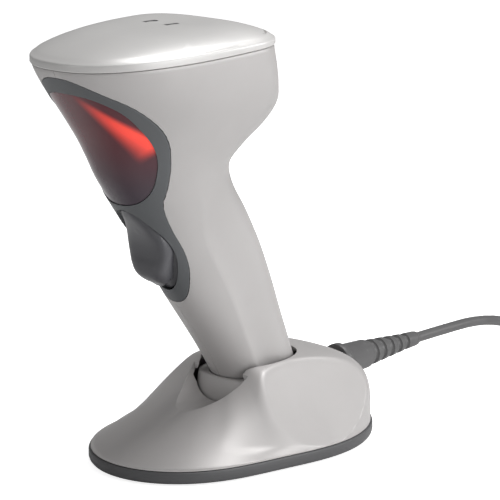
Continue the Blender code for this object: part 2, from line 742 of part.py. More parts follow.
def opening():
    """Hole that the cup and the handle stand in."""
    rings = [cup_ring(z, front, 0.9) for z, front in CUP_FRONT]
    rings.append(cup_ring(33.4, CUP_FRONT[-1][1], 0.3))
    for z, inset in ((36.0, 2.3), (46.0, 1.9)):
        rings.append([(x, y, z) for x, y, _ in handset_ring(z, -inset, 36)])
    return loft(rings)


def stand_cover(frame, look):
    """Domed cover with the cup opening, the dish and the cord hole."""
    shares = (1.0, 0.985, 0.95, 0.88, 0.79, 0.69, 0.58, 0.47, 0.36)
    verts, faces = dome(0.6, 0.0, shares)
    made = new_object("stand_cover", verts, faces, frame, look)
    cut(made, scoop(), solver="MANIFOLD")
    verts, faces = dome(0.6 + COVER_WALL, COVER_WALL, shares[::2])
    hollow = new_object("cover_hollow", verts, faces, None, None, (0, 0, 0))
    cut(hollow, scoop(COVER_WALL), solver="MANIFOLD")
    points = [v.co / MM for v in hollow.data.vertices]
    inner = (points, [tuple(f.vertices) for f in hollow.data.polygons])
    bpy.data.objects.remove(hollow)
    cut(made, inner, solver="MANIFOLD")
    for (x, y), top in zip(SCREW_SPOTS, (9.4, 33.0, 33.0)):
        post = rod((x, y, (RIM_TOP + 0.6 + top) / 2), 3.2, top - RIM_TOP - 0.6, sides=16)
        cut(made, post, "UNION", "MANIFOLD")
        cut(made, rod((x, y, 5.0), 1.5, 12.0, sides=12), solver="MANIFOLD")
    cut(made, opening(), solver="MANIFOLD")
    cut(made, rod((0, 88.0, GLAND_Z), 6.4, 24.0, (90, 0, 0), 24), solver="MANIFOLD")
    smooth(made, 30.0)


def base_plate(frame, looks):
    """Dark base with its rim, the ballast, the feet and the screws."""
    verts, faces = prism(outline(-0.4), RIM_BOTTOM, RIM_TOP)
    plate = new_object("base_plate", verts, faces, frame, looks["dark"])
    cut(plate, prism(outline(2.6), RIM_BOTTOM + 2.2, RIM_TOP + 5.0))
    verts, faces = prism(outline(11.0, 40), RIM_BOTTOM + 2.2 + GAP, RIM_BOTTOM + 5.2)
    weight = new_object("base_weight", verts, faces, frame, looks["steel"])
    names = ("stand_screw_front", "stand_screw_left", "stand_screw_right")
    for (x, y), name in zip(SCREW_SPOTS, names):
        cut(plate, rod((x, y, 2.0), 1.7, 8.0, sides=16))
        cut(plate, rod((x, y, 1.0), 3.2, 2.6, sides=20))
        cut(weight, rod((x, y, 4.0), 4.0, 9.0, sides=20))
        profile = [(2.7, 1.2), (2.7, 2.0), (1.2, 2.1), (1.2, 9.0)]
        screw = turned(profile, (x, y, 0), sides=16)
        made = new_object(name, screw[0], screw[1], frame, looks["steel"])
        smooth(made)
    for number, (x, y) in enumerate(FOOT_SPOTS, start=1):
        cut(plate, rod((x, y, 1.0), 5.3, 2.2, sides=24))
        foot = turned([(4.6, 0.0), (5.0, 0.3), (5.0, 1.8)], (x, y, 0), sides=24)
        made = new_object("rubber_foot_%d" % number, foot[0], foot[1], frame, looks["rubber"])
        smooth(made)


def brackets(frame, looks):
    """Two upright plates that carry the cup's pins."""
    _, py, pz = CUP_PIVOT
    low = RIM_BOTTOM + 5.2 + GAP
    for side, name in ((-1, "axle_bracket_left"), (1, "axle_bracket_right")):
        plate = box((side * 23.6, py, (low + pz + 4.5) / 2), (2.6, 13.0, pz + 4.5 - low))
        made = new_object(name, plate[0], plate[1], frame, looks["steel"])
        cut(made, box((side * 27.5, py, low + 0.8), (7.6, 13.0, 1.6)), "UNION")
        cut(made, rod((side * 23.6, py, pz), PIN_RADIUS + GAP, 10.0, (0, 90, 0), 24))


def strain_relief(frame, look):
    """Grooved taper on the cord, with a collar against the stand's back wall."""
    profile = [(5.8, -9.0), (5.8, 3.2), (8.3, 3.4), (8.3, 6.4), (7.2, 8.0), (6.6, 22.0)]
    start = 24.0
    for number in range(5):
        z = start + number * 6.0
        radius = 5.9 - number * 0.5
        profile += [(radius, z), (radius - 1.0, z + 0.5), (radius - 1.0, z + 2.3), (radius - 0.1, z + 2.8)]
    profile += [(3.5, 57.0), (3.1, 59.0)]
    verts, faces = turned(profile, (0, 87.0, GLAND_Z), (-90, 0, 0), 14)
    made = new_object("strain_relief", verts, faces, frame, look)
    smooth(made, 50.0)


# ================================================================= cord
COIL_CENTRE = (18.0, 300.0)
COIL_RADIUS = 27.0
COIL_SIDES = 30


def smooth_route(points, spacing):
    """Evenly spaced points on a smooth curve through hand-chosen route points."""
    nodes = [Vector(p) for p in points]
    dense = []
    for i in range(len(nodes) - 1):
        before = nodes[max(i - 1, 0)]
        after = nodes[min(i + 2, len(nodes) - 1)]
        a, b = nodes[i], nodes[i + 1]
        lead = (b - before) * 0.5
        trail = (after - a) * 0.5
        for k in range(24):
            t = k / 24
            dense.append(
                (2 * t ** 3 - 3 * t ** 2 + 1) * a + (t ** 3 - 2 * t ** 2 + t) * lead
                + (3 * t ** 2 - 2 * t ** 3) * b + (t ** 3 - t ** 2) * trail
            )
    dense.append(nodes[-1])
    kept = [dense[0]]
    run = 0.0
    for first, second in zip(dense, dense[1:]):
        run += (second - first).length
        if run >= spacing:
            kept.append(second)
            run = 0.0
    if (kept[-1] - dense[-1]).length < spacing * 0.5:
        kept.pop()
    kept.append(dense[-1])
    return kept


def tube(name, points, radius, look, frame, resolution=3):
    """Round tube along a polyline with closed ends."""
    curve = bpy.data.curves.new(name, "CURVE")
    curve.dimensions = "3D"
    line = curve.splines.new("POLY")
    line.points.add(len(points) - 1)
    base = frame.matrix_world.translation
    for slot, point in zip(line.points, points):
        slot.co = (*(Vector(point) * MM - base), 1.0)
    curve.bevel_depth = radius * MM
    curve.bevel_resolution = resolution
    curve.use_fill_caps = True
    curve.materials.append(look)
    made = bpy.data.objects.new(name, curve)
    bpy.context.collection.objects.link(made)
    made.parent = frame
    return made


def cord(frame, looks):
    """Cord from the strain relief to its coil, with the tie and the plug."""
    cx, cy = COIL_CENTRE
    rest = CORD_RADIUS + 0.1
    route = (
        (0.0, 146.5, GLAND_Z), (0.0, 166.0, GLAND_Z), (0.0, 188.0, 21.0), (-1.0, 208.0, 17.5),
        (-4.0, 230.0, 10.0), (-9.0, 250.0, rest + 1.2), (-13.0, 265.0, rest), (cx - 33.8, cy - 24.5, rest),
    )
    tube("host_cord", smooth_route(route, 8.0), CORD_RADIUS, looks["cord"], frame)
    section = [(COIL_RADIUS + 9.6 * math.cos(a), 7.3 + 7.1 * math.sin(a))
               for a in [2 * math.pi * k / 10 for k in range(10)]]
    rings = []
    for i in range(COIL_SIDES):
        a = 2 * math.pi * i / COIL_SIDES
        rings.append([(cx + r * math.cos(a), cy + r * math.sin(a), z) for r, z in section])
    count = len(section)
    verts = [p for ring in rings for p in ring]
    faces = []
    for i in range(COIL_SIDES):
        for j in range(count):
            a = i * count + j
            b = i * count + (j + 1) % count
            c = ((i + 1) % COIL_SIDES) * count + (j + 1) % count
            d = ((i + 1) % COIL_SIDES) * count + j
            faces.append((a, b, c, d))
    made = new_object("cord_coil", verts, faces, frame, looks["cord"])
    smooth(made, 60.0)
    band = box((cx + COIL_RADIUS, cy, 7.7), (22.8, 6.0, 15.4))
    tie = new_object("cord_tie", band[0], band[1], frame, looks["black"])
    cut(tie, box((cx + COIL_RADIUS, cy, 7.4), (19.8, 12.0, 14.6)))
    block = box((cx + 6.2, cy + 54.6, 6.2), (32.0, 15.5, 12.0), (0.0, 0.0, 45.0))
    new_object("host_plug", block[0], block[1], frame, looks["black"])


def cup_lead(frame, look):
    """Short lead inside the stand from the cup to the strain relief."""
    route = ((0.0, 71.5, 12.0), (0.0, 74.0, 15.5), (0.0, 75.2, 19.0), (0.0, 76.8, 21.0))
    tube("cup_lead", smooth_route(route, 2.4), 1.2, look, frame, 1)


# ================================================================= assembly
def clear_scene():
    """Remove whatever the new file starts with."""
    for thing in list(bpy.data.objects):
        bpy.data.objects.remove(thing)


def all_materials():
    """One material per kind of sub-part."""
    return {
        "light": material("light_grey_plastic", (0.55, 0.54, 0.53), 0.42),
        "lid": material("pale_cover_plastic", (0.68, 0.67, 0.65), 0.38),
        "dark": material("dark_grey_plastic", (0.09, 0.09, 0.10), 0.5),
        "black": material("black_plastic", (0.02, 0.02, 0.022), 0.5),
        "window": material("smoky_red_window", (0.12, 0.02, 0.03), 0.08, 0.0, 0.6),
        "rubber": material("black_rubber", (0.015, 0.015, 0.015), 0.85),
        "steel": material("steel", (0.6, 0.6, 0.62), 0.3, 1.0),
        "mirror": material("mirror", (0.9, 0.9, 0.92), 0.04, 1.0),
        "brass": material("brass", (0.72, 0.52, 0.22), 0.3, 1.0),
        "gold": material("gold_contact", (0.9, 0.68, 0.3), 0.25, 1.0),
        "board": material("circuit_board", (0.02, 0.2, 0.08), 0.45),
        "lens": material("clear_lens", (0.5, 0.55, 0.55), 0.15),
        "white": material("white_plastic", (0.8, 0.8, 0.78), 0.5),
        "blue": material("cell_sleeve", (0.05, 0.15, 0.5), 0.35),
        "cord": material("grey_cord", (0.13, 0.13, 0.13), 0.55),
    }


def build():
    """Whole scanner and stand."""
    clear_scene()
    looks = all_materials()
    stand = empty("stand_frame", (0.0, 0.0, 0.0))
    cup_frame = empty("cup_frame", CUP_PIVOT, stand)
    handset = empty("handset_frame", along_handle(14.0, 0.0), cup_frame)
    housing_half("housing_left", -1, handset, looks["light"])
    housing_half("housing_right", 1, handset, looks["light"])
    lid(handset, looks["lid"])
    bezel(handset, looks["dark"])
    window(handset, looks)
    trigger_group(handset, looks)
    optics(handset, looks)
    electronics(handset, looks)
    handle_end(handset, looks)
    handle_screw(handset, looks)
    cup(cup_frame, looks)
    stand_cover(stand, looks["light"])
    base_plate(stand, looks)
    brackets(stand, looks)
    strain_relief(stand, looks["cord"])
    cup_lead(stand, looks["cord"])
    cord(stand, looks)


build()
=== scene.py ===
"""Looks of the barcode scanner and its desk stand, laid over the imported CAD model."""
import math

import bmesh
import bpy
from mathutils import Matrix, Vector


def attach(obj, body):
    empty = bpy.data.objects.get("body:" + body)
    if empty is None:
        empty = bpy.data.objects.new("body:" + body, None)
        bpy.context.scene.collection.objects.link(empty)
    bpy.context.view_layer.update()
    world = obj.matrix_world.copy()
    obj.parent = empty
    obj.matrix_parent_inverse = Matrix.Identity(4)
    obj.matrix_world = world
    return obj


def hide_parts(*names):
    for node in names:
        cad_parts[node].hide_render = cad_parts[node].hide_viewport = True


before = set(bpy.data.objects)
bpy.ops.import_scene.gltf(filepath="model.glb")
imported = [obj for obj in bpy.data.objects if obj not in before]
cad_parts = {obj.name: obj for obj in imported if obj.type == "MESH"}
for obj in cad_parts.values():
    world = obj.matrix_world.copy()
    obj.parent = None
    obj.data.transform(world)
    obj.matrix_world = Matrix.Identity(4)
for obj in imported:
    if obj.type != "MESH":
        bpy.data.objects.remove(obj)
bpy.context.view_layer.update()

MM = 0.001

# height, front line, rear line, half width (mm), front power, rear power, place of the widest part
HANDSET_STATIONS = (
    (14.0, 27.0, 62.0, 16.0, 2.1, 2.1, 0.50),
    (30.0, 17.0, 56.5, 16.3, 2.1, 2.1, 0.50),
    (44.0, 8.0, 51.3, 16.6, 2.1, 2.1, 0.50),
    (56.0, -0.6, 46.8, 16.8, 2.1, 2.1, 0.50),
    (72.0, -12.4, 41.0, 17.2, 2.1, 2.1, 0.50),
    (88.0, -23.4, 34.1, 17.8, 2.1, 2.1, 0.50),
    (104.0, -33.8, 25.0, 19.0, 2.1, 2.1, 0.50),
    (118.0, -43.2, 15.5, 21.0, 2.1, 2.1, 0.50),
    (128.0, -49.3, 12.4, 23.2, 2.15, 2.2, 0.52),
    (136.0, -52.9, 19.4, 26.3, 2.2, 2.3, 0.55),
    (144.0, -56.6, 27.8, 30.5, 2.25, 2.4, 0.60),
    (152.0, -61.2, 30.4, 34.6, 2.3, 2.5, 0.66),
    (160.0, -66.1, 26.6, 37.6, 2.35, 2.7, 0.70),
    (168.0, -71.3, 23.3, 39.0, 2.4, 2.8, 0.73),
    (176.0, -76.1, 21.0, 39.6, 2.4, 2.8, 0.74),
    (186.0, -79.5, 19.5, 39.8, 2.4, 2.8, 0.74),
)
LEVEL_TILT = math.radians(2.9)
HOUSING_TOP = 177.2
HOUSING_BOTTOM = 18.3
HOUSING_WALL = 2.4
SEAM_GAP, HALF_BOX = 0.1, 120.0
SCREW_RECESS, SCREW_RECESS_RADIUS = (-24.0, -8.0, 126.0), 3.0
LID_GAP = 0.3
LID_EDGE = 3.2
LID_CROWN = 6.5
LID_CROWN_POWER = 4.0
LID_REAR_DROP = 0.8
LID_OVERHANG, LID_ROUND, LID_WALL, LID_INSET = 0.5, 0.9, 2.2, 2.6
LID_LINE_DEPTH, LID_LINE_SPAN = 0.8, 0.36
LID_SLOTS = ((-6.2, -18.0), (6.2, -18.0))
LID_SLOT_SIZE, LIGHT_PIPE_SIZE, LIGHT_PIPE_FOOT = (2.8, 7.6), (2.6, 7.4), 176.4

# outlines on the handset's front: share of the way down, half angle round the body in degrees
BEZEL_TOP, BEZEL_BOTTOM = 174.0, 70.9
BEZEL_GAP, BEZEL_SINK = 0.2, 0.05
BEZEL_EDGE = (
    (0.0, 0.0), (0.08, 10.5), (0.15, 21.5), (0.215, 34.4), (0.30, 46.3), (0.40, 57.0),
    (0.445, 60.6), (0.485, 58.5), (0.53, 49.0), (0.60, 46.0), (0.67, 47.6), (0.73, 44.8),
    (0.80, 36.5), (0.87, 26.5), (0.94, 14.0), (1.0, 0.0),
)
WINDOW_TOP, WINDOW_BOTTOM = 167.2, 117.3
WINDOW_GAP, WINDOW_SINK, WINDOW_BACK = 0.12, 0.45, 2.3
WINDOW_EDGE = (
    (0.0, 0.0), (0.08, 11.0), (0.15, 18.7), (0.26, 29.2), (0.37, 36.2), (0.46, 42.5),
    (0.55, 48.0), (0.61, 49.8), (0.70, 48.2), (0.80, 38.5), (0.91, 21.0), (1.0, 0.0),
)
TRIGGER_TOP, TRIGGER_BOTTOM = 114.5, 77.0
TRIGGER_GAP = 0.3
TRIGGER_SKIRT = (1.6, 3.6)
TRIGGER_SQUARENESS, TRIGGER_LEAN = 0.72, 0.45
TRIGGER_EDGE = (
    (0.0, 0.0), (0.11, 11.6), (0.285, 26.0), (0.40, 34.8), (0.51, 37.2), (0.61, 33.4),
    (0.80, 19.0), (1.0, 0.0),
)
# height, face line, thickness, half width, hollow of the trigger (mm)
TRIGGER_ROWS = (
    (77.9, -20.6, 3.4, 2.6, 0.0),
    (79.3, -22.6, 7.0, 5.2, 0.0),
    (81.0, -26.0, 10.0, 6.9, 0.1),
    (83.5, -29.0, 12.0, 8.6, 0.5),
    (87.0, -30.2, 12.0, 9.9, 1.2),
    (91.0, -30.5, 12.0, 10.9, 1.7),
    (96.0, -31.2, 11.0, 10.9, 1.8),
    (101.0, -32.8, 11.0, 9.7, 1.3),
    (106.0, -35.4, 10.4, 7.6, 0.6),
    (110.0, -38.0, 7.0, 5.2, 0.1),
    (112.6, -39.6, 4.0, 2.6, 0.0),
)
# how far the solids that cut the openings stand out of the skin and reach into it
CUT_OUT, CUT_IN, TRIGGER_CUT_IN = -4.0, 7.0, 9.0

# height and angle of the soft crease down each side of the handle
CREASE = (
    (30.0, 60.0), (48.0, 65.0), (65.0, 71.0), (78.0, 73.0), (92.0, 72.0), (102.0, 75.0), (112.0, 84.0),
)
CREASE_SINK = 2.0
CREASE_SPAN = math.radians(58.0)

# stand (mm)
OUTLINE_CENTRE_Y = 15.8
STAND_CENTRE_Y = 22.0
OUTLINE_COEFFICIENTS = (57.7, -6.4, 11.25, 1.0)
RIM_TOP, RIM_BOTTOM = 6.3, 1.0
DOME_TOP = 37.8
DOME_BULGE = ((0.0, 0.72), (0.11, 0.82), (0.22, 1.05), (0.36, 1.72), (0.5, 3.3), (1.0, 3.6))
DOME_ROUNDING = ((0.0, 1.0), (0.22, 1.05), (0.5, 0.75), (0.75, 0.26), (1.0, 0.28))
COVER_WALL, COVER_INSET = 2.4, 0.6
TRAY_WALL, TRAY_FLOOR = 2.6, 2.2
SCREW_SPOTS = ((0.0, -33.0), (-20.0, 68.0), (20.0, 68.0))
FOOT_SPOTS = ((-22.0, -18.0), (22.0, -18.0), (-33.0, 56.0), (33.0, 56.0), (0.0, 0.0))
FACET_EDGE_X, FACET_EDGE_Z, FACET_SLOPE = 22.0, 36.0, 1.08
FACET_REAR_RISE = 9.0
FACET_HOLLOW, FACET_HOLLOW_WIDTH = 1.2, 26.0
FACET_SOFT_FRONT, FACET_SOFT_REAR = 16.0, 1.2
SCOOP_RADIUS, SCOOP_LEVEL = 16.6, 37.5
GLAND_Z, BOOT_START_Y = 21.5, 87.0
CUP_TOP, CUP_FLOOR, CUP_BOTTOM, CUP_HALF_WIDTH = 31.0, 13.3, 10.6, 19.4
CUP_PIVOT = (44.0, 20.0)
CUP_CLEARANCE = 0.45
CUP_REAR_WALL = 3.05
CUP_FRONT_REACH = 31.6
CUP_FRONT_POWER, CUP_REAR_POWER = 3.4, 2.3
CUP_ROUND = 0.7
PIN_RADIUS, PIN_X = 2.8, 19.0

# cord: the coil's turns lie a cord's width apart, beside and on each other
CORD_RADIUS = 2.4
CORD_EXIT_Y = 146.5
COIL_CENTRE = (18.0, 300.0)
COIL_RADII = (34.2, 29.4, 24.6, 19.8)
COIL_LEVELS = (2.5, 7.3, 12.1)
PLUG_DROP, PLUG_LEVEL = 5.9, 6.2
PLUG_SQUARENESS, SHROUD_SQUARENESS = 0.55, 0.3
STRAP_HALF_WIDTH, STRAP_HALF_HEIGHT, STRAP_THICKNESS, STRAP_LEVEL = 11.4, 8.0, 0.9, 8.45
STRAP_SHIFT = 27.0
# degrees: a change of turn, the whole coil, one step
COIL_WINDOW, COIL_END, COIL_STEP = 90.0, 2925.0, 8.0

# looks (shader values; places in metres)
# painted glow on the scan window: start and end points (x, z) and bow of a red streak painted into the pane's
# colour and emission, not cast by a lamp
PAINTED_GLOW_START, PAINTED_GLOW_END = (0.005, 0.1635), (0.0235, 0.1425)
PAINTED_GLOW_BOW = 0.006
GRAIN_SCALE, GRAIN_STRENGTH, GRAIN_DEPTH = 2600.0, 0.2, 0.00006

# how finely the curved skins are divided
SHELL_SIDES, FRONT_SIDES, STAND_SIDES = 128, 26, 220
PATCH_ROWS, PATCH_COLUMNS = 48, 32
PATCH_WIDEN_ANGLE = 0.03
MERGE_DISTANCE = 2e-6

# camera and lights: place, where they point, size and power
CAMERA_LENS, CAMERA_DISTANCE = 175.6, 1.0
CAMERA_TARGET = Vector((0.032676, 0.000069, 0.095))
CAMERA_AZIMUTH, CAMERA_ELEVATION = math.radians(43.832), math.radians(13.707)
LIGHTS = {
    "overhead": ((0.05, 0.30, 0.95), (0.0, 0.0, 0.1), 0.45, 5.5),
    "key_right": ((1.05, 0.12, 0.42), (0.0, 0.0, 0.1), 0.80, 6.4),
    "rear_right": ((0.75, 0.80, 0.40), (0.0, 0.02, 0.1), 0.30, 3.2),
    "front_fill": ((-0.3, -1.2, 0.5), (0.0, 0.0, 0.08), 0.60, 1.1),
}
FLOOR_REACH, FLOOR_GREY, FLOOR_LIFT, SURROUND_LIGHT = 4000.0, 0.80, 0.80, 0.26


# ----------------------------------------------------------------- shapes
def curve_value(rows, column, x):
    """Smooth value of one column of a table at x (first column is the key)."""
    count = len(rows)
    index = 0
    while index < count - 2 and x > rows[index + 1][0]:
        index += 1

    def slope(j):
        low = max(j - 1, 0)
        high = min(j + 1, count - 1)
        return (rows[high][column] - rows[low][column]) / (rows[high][0] - rows[low][0])

    step = rows[index + 1][0] - rows[index][0]
    t = (x - rows[index][0]) / step
    a = rows[index][column]
    b = rows[index + 1][column]
    return (
        (2 * t ** 3 - 3 * t ** 2 + 1) * a
        + (t ** 3 - 2 * t ** 2 + t) * step * slope(index)
        + (3 * t ** 2 - 2 * t ** 3) * b
        + (t ** 3 - t ** 2) * step * slope(index + 1)
    )


def ramp(low, high, x):
    """Smooth step from 0 at low to 1 at high."""
    t = min(max((x - low) / (high - low), 0.0), 1.0)
    return t * t * (3 - 2 * t)


def around(count):
    """Angles of evenly spaced points round a circle."""
    return [2 * math.pi * i / count for i in range(count)]


def bent(value, power):
    """Power of a value that keeps its sign."""
    return math.copysign(abs(value) ** power, value)


def handset_point(height, angle, inset=0.0):
    """Point on the handset skin in mm: angle 0 is the front, 90 degrees the +X side."""
    values = [curve_value(HANDSET_STATIONS, k, height) for k in range(1, 7)]
    front, rear, half_width, front_power, rear_power, fraction = values
    widest = front + fraction * (rear - front)
    c = math.cos(angle)
    s = math.sin(angle)
    power = front_power if c > 0 else rear_power
    reach = (widest - front - inset) if c > 0 else (rear - widest - inset)
    x = (half_width - inset) * bent(s, 2 / power)
    y = widest - reach * bent(c, 2 / power)
    return (x, y, height + (y - (front + rear) / 2) * math.sin(LEVEL_TILT))


def new_piece(name, verts, faces, look):
    """Mesh piece from points in mm."""
    mesh = bpy.data.meshes.new(name)
    mesh.from_pydata([Vector(v) * MM for v in verts], [], faces)
    mesh.validate()
    edit = bmesh.new()
    edit.from_mesh(mesh)
    bmesh.ops.recalc_face_normals(edit, faces=edit.faces)
    edit.to_mesh(mesh)
    edit.free()
    if look is not None:
        mesh.materials.append(look)
    made = bpy.data.objects.new(name, mesh)
    bpy.context.scene.collection.objects.link(made)
    return made


def loft(rings):
    """Closed solid through rings of equal point count."""
    count = len(rings[0])
    verts = [p for ring in rings for p in ring]
    faces = []
    for level in range(len(rings) - 1):
        low = level * count
        for i in range(count):
            j = (i + 1) % count
            faces.append((low + i, low + j, low + count + j, low + count + i))
    last = (len(rings) - 1) * count
    faces.append(tuple(range(count))[::-1])
    faces.append(tuple(range(last, last + count)))
    return verts, faces


def handset_ring(height, inset=0.0, sides=96):
    """One ring of points round the handset."""
    return [handset_point(height, a, inset) for a in around(sides)]


def spread(low, high, count):
    """Evenly spaced values."""
    return [low + (high - low) * i / (count - 1) for i in range(count)]


def rod(centre, radius, length, axis, sides=32):
    """Cylinder solid in mm along an axis."""
    turn = Vector((0, 0, 1)).rotation_difference(Vector(axis))
    rings = []
    for z in (-length / 2, length / 2):
        ring = []
        for a in around(sides):
            ring.append(turn @ Vector((radius * math.cos(a), radius * math.sin(a), z)) + Vector(centre))
        rings.append(ring)
    return loft(rings)


def box(centre, size):
    """Rectangular solid in mm."""
    hx, hy, hz = size[0] / 2, size[1] / 2, size[2] / 2
    rings = []
    for z in (-hz, hz):
        ring = [(-hx, -hy, z), (hx, -hy, z), (hx, hy, z), (-hx, hy, z)]
        rings.append([tuple(a + b for a, b in zip(p, centre)) for p in ring])
    return loft(rings)


def cut(target, solid):
    """Take a (verts, faces) solid in mm away from a piece."""
    tool = new_piece("tool", *solid, None)
    step = target.modifiers.new("cut", "BOOLEAN")
    step.operation = "DIFFERENCE"
    step.solver = "MANIFOLD"
    step.object = tool
    shape = bpy.data.meshes.new_from_object(
        target.evaluated_get(bpy.context.evaluated_depsgraph_get())
    )
    target.modifiers.clear()
    target.data = shape
    bpy.data.objects.remove(tool)


def finish_edges(piece, degrees, width=0.0):
    """Shade a piece smooth up to an angle, and round what is sharper by a width in mm."""
    edit = bmesh.new()
    edit.from_mesh(piece.data)
    bmesh.ops.dissolve_degenerate(edit, dist=MERGE_DISTANCE, edges=edit.edges)
    bmesh.ops.remove_doubles(edit, verts=edit.verts, dist=MERGE_DISTANCE)
    edit.to_mesh(piece.data)
    edit.free()
    piece.data.shade_smooth()
    piece.data.set_sharp_from_angle(angle=math.radians(degrees))
    if width > 0.0:
        step = piece.modifiers.new("round", "BEVEL")
        step.width = width * MM
        step.segments = 2
        step.limit_method = "ANGLE"
        step.angle_limit = math.radians(degrees)
        step.harden_normals = False
        step.use_clamp_overlap = True


def patch(top, bottom, edge, outer, inner, widen=0.0):
    """Curved slab that follows the handset skin inside a rounded outline."""
    rows, columns = PATCH_ROWS, PATCH_COLUMNS
    middle = (top + bottom) / 2
    half = (top - bottom) / 2 + widen
    layers = []
    for inset in (outer, inner):
        grid = []
        for i in range(1, rows):
            share = i / rows
            height = middle + half * math.cos(math.pi * share)
            reach = math.radians(max(curve_value(edge, 1, share), 0.5)) + widen * PATCH_WIDEN_ANGLE
            shares = [2 * j / columns - 1 for j in range(columns + 1)]
            grid.append([handset_point(height, reach * part, inset) for part in shares])
        tips = (handset_point(middle + half, 0.0, inset), handset_point(middle - half, 0.0, inset))
        layers.append((grid, tips))
    verts = []
    starts = []
    for grid, tips in layers:
        starts.append(len(verts))
        for line in grid:
            verts.extend(line)
        verts.extend(tips)
    width = columns + 1
    count = rows - 1
    faces = []
    for start in starts:
        high = start + count * width
        for i in range(count - 1):
            for j in range(columns):
                a = start + i * width + j
                faces.append((a, a + 1, a + 1 + width, a + width))
        for j in range(columns):
            faces.append((high, start + j + 1, start + j))
            last = start + (count - 1) * width
            faces.append((high + 1, last + j, last + j + 1))
    first, second = starts
    border = [first + count * width]
    border += [first + i * width + columns for i in range(count)]
    border += [first + count * width + 1]
    border += [first + i * width for i in range(count - 1, -1, -1)]
    shift = second - first
    for i, a in enumerate(border):
        b = border[(i + 1) % len(border)]
        faces.append((a, b, b + shift, a + shift))
    return verts, faces


# ----------------------------------------------------------------- node materials
class Nodes:
    """Small helper that wires shader nodes of one material."""

    def __init__(self, name):
        self.material = bpy.data.materials.new(name)
        self.material.use_nodes = True
        self.tree = self.material.node_tree
        self.shader = self.tree.nodes["Principled BSDF"]
        self.coordinates = self.tree.nodes.new("ShaderNodeTexCoord").outputs["Object"]

    def add(self, kind, **settings):
        """New node; plain settings are set on the node itself."""
        made = self.tree.nodes.new(kind)
        for key, value in settings.items():
            setattr(made, key, value)
        return made

    def put(self, socket, value):
        """Link an output or set a plain value on an input."""
        if isinstance(value, bpy.types.NodeSocket):
            self.tree.links.new(value, socket)
        else:
            socket.default_value = value

    def noise(self, scale, detail=3.0, roughness=0.55, stretch=None):
        """Noise value over the object's own coordinates."""
        made = self.add("ShaderNodeTexNoise")
        source = self.coordinates
        if stretch is not None:
            mapping = self.add("ShaderNodeMapping")
            mapping.inputs["Scale"].default_value = stretch
            self.put(mapping.inputs["Vector"], source)
            source = mapping.outputs["Vector"]
        self.put(made.inputs["Vector"], source)
        made.inputs["Scale"].default_value = scale
        made.inputs["Detail"].default_value = detail
        made.inputs["Roughness"].default_value = roughness
        return made.outputs["Fac"]

    def cells(self, scale):
        """Distance to the nearest cell point, for moulded grain."""
        made = self.add("ShaderNodeTexVoronoi", feature="F1")
        self.put(made.inputs["Vector"], self.coordinates)
        made.inputs["Scale"].default_value = scale
        return made.outputs["Distance"]

    def math(self, operation, a, b=0.0, c=0.0):
        """Arithmetic on values or outputs."""
        made = self.add("ShaderNodeMath", operation=operation)
        for socket, value in zip(made.inputs, (a, b, c)):
            self.put(socket, value)
        return made.outputs[0]

    def span(self, value, low, high, out_low, out_high):
        """Map one range to another along a smooth step."""
        made = self.add("ShaderNodeMapRange", interpolation_type="SMOOTHSTEP")
        settings = (value, low, high, out_low, out_high)
        for socket, item in zip(made.inputs, settings):
            self.put(socket, item)
        return made.outputs[0]

    def mix(self, factor, first, second):
        """Mix two colours."""
        made = self.add("ShaderNodeMix", data_type="RGBA", blend_type="MIX")
        self.put(made.inputs[0], factor)
        self.put(made.inputs[6], first)
        self.put(made.inputs[7], second)
        return made.outputs[2]

    def worn_edge(self):
        """1 on convex edges, 0 elsewhere."""
        geometry = self.add("ShaderNodeNewGeometry")
        return self.span(geometry.outputs["Pointiness"], 0.53, 0.60, 0.0, 1.0)

    def bump(self, height, strength, distance):
        """Bump from one height."""
        made = self.add("ShaderNodeBump")
        made.inputs["Strength"].default_value = strength
        made.inputs["Distance"].default_value = distance
        self.put(made.inputs["Height"], height)
        self.put(self.shader.inputs["Normal"], made.outputs["Normal"])

    def set(self, **values):
        """Shader inputs by name, with spaces written as underscores."""
        for key, value in values.items():
            self.put(self.shader.inputs[key.replace("_", " ")], value)


def colour(value, shade=1.0):
    """Opaque colour."""
    return (value[0] * shade, value[1] * shade, value[2] * shade, 1.0)


def moulded_plastic(name, base, rough, mottle=0.05, coat=0.0, sheen=0.0):
    """Injection-moulded plastic: fine grain, faint mottling, handled sheen and lighter edges."""
    n = Nodes(name)
    cloud = n.noise(38.0, 4.0)
    fine = n.noise(420.0, 2.0)
    tint = n.mix(cloud, colour(base, 1.0 - mottle), colour(base, 1.0 + mottle))
    tint = n.mix(n.math("MULTIPLY", fine, 0.06), tint, colour(base, 0.8))
    edge = n.worn_edge()
    lighter = tuple(min(v * 1.18 + 0.02, 1.0) for v in base)
    n.set(Base_Color=n.mix(n.math("MULTIPLY", edge, 0.45), tint, colour(lighter)))
    smear = n.noise(60.0, 5.0, 0.65, (1.0, 1.0, 0.35))
    n.set(Roughness=n.math("MULTIPLY_ADD", smear, 0.16, rough - 0.08))
    n.set(Coat_Weight=coat, Coat_Roughness=0.22, Metallic=sheen)
    height = n.math("MULTIPLY_ADD", n.cells(GRAIN_SCALE), 0.6, n.math("MULTIPLY", fine, 0.4))
    n.bump(height, GRAIN_STRENGTH, GRAIN_DEPTH)
    return n.material


def metal(name, base, rough, brushed=True):
    """Metal with fine brushing and a little tarnish."""
    n = Nodes(name)
    stretch = (1.0, 1.0, 18.0) if brushed else (1.0, 1.0, 1.0)
    line = n.noise(900.0, 3.0, 0.6, stretch)
    stain = n.noise(70.0, 4.0)
    n.set(Base_Color=n.mix(stain, colour(base, 0.86), colour(base, 1.05)), Metallic=1.0)
    n.set(Roughness=n.math("MULTIPLY_ADD", line, 0.22, rough - 0.08))
    n.bump(line, 0.12, 0.00004)
    return n.material


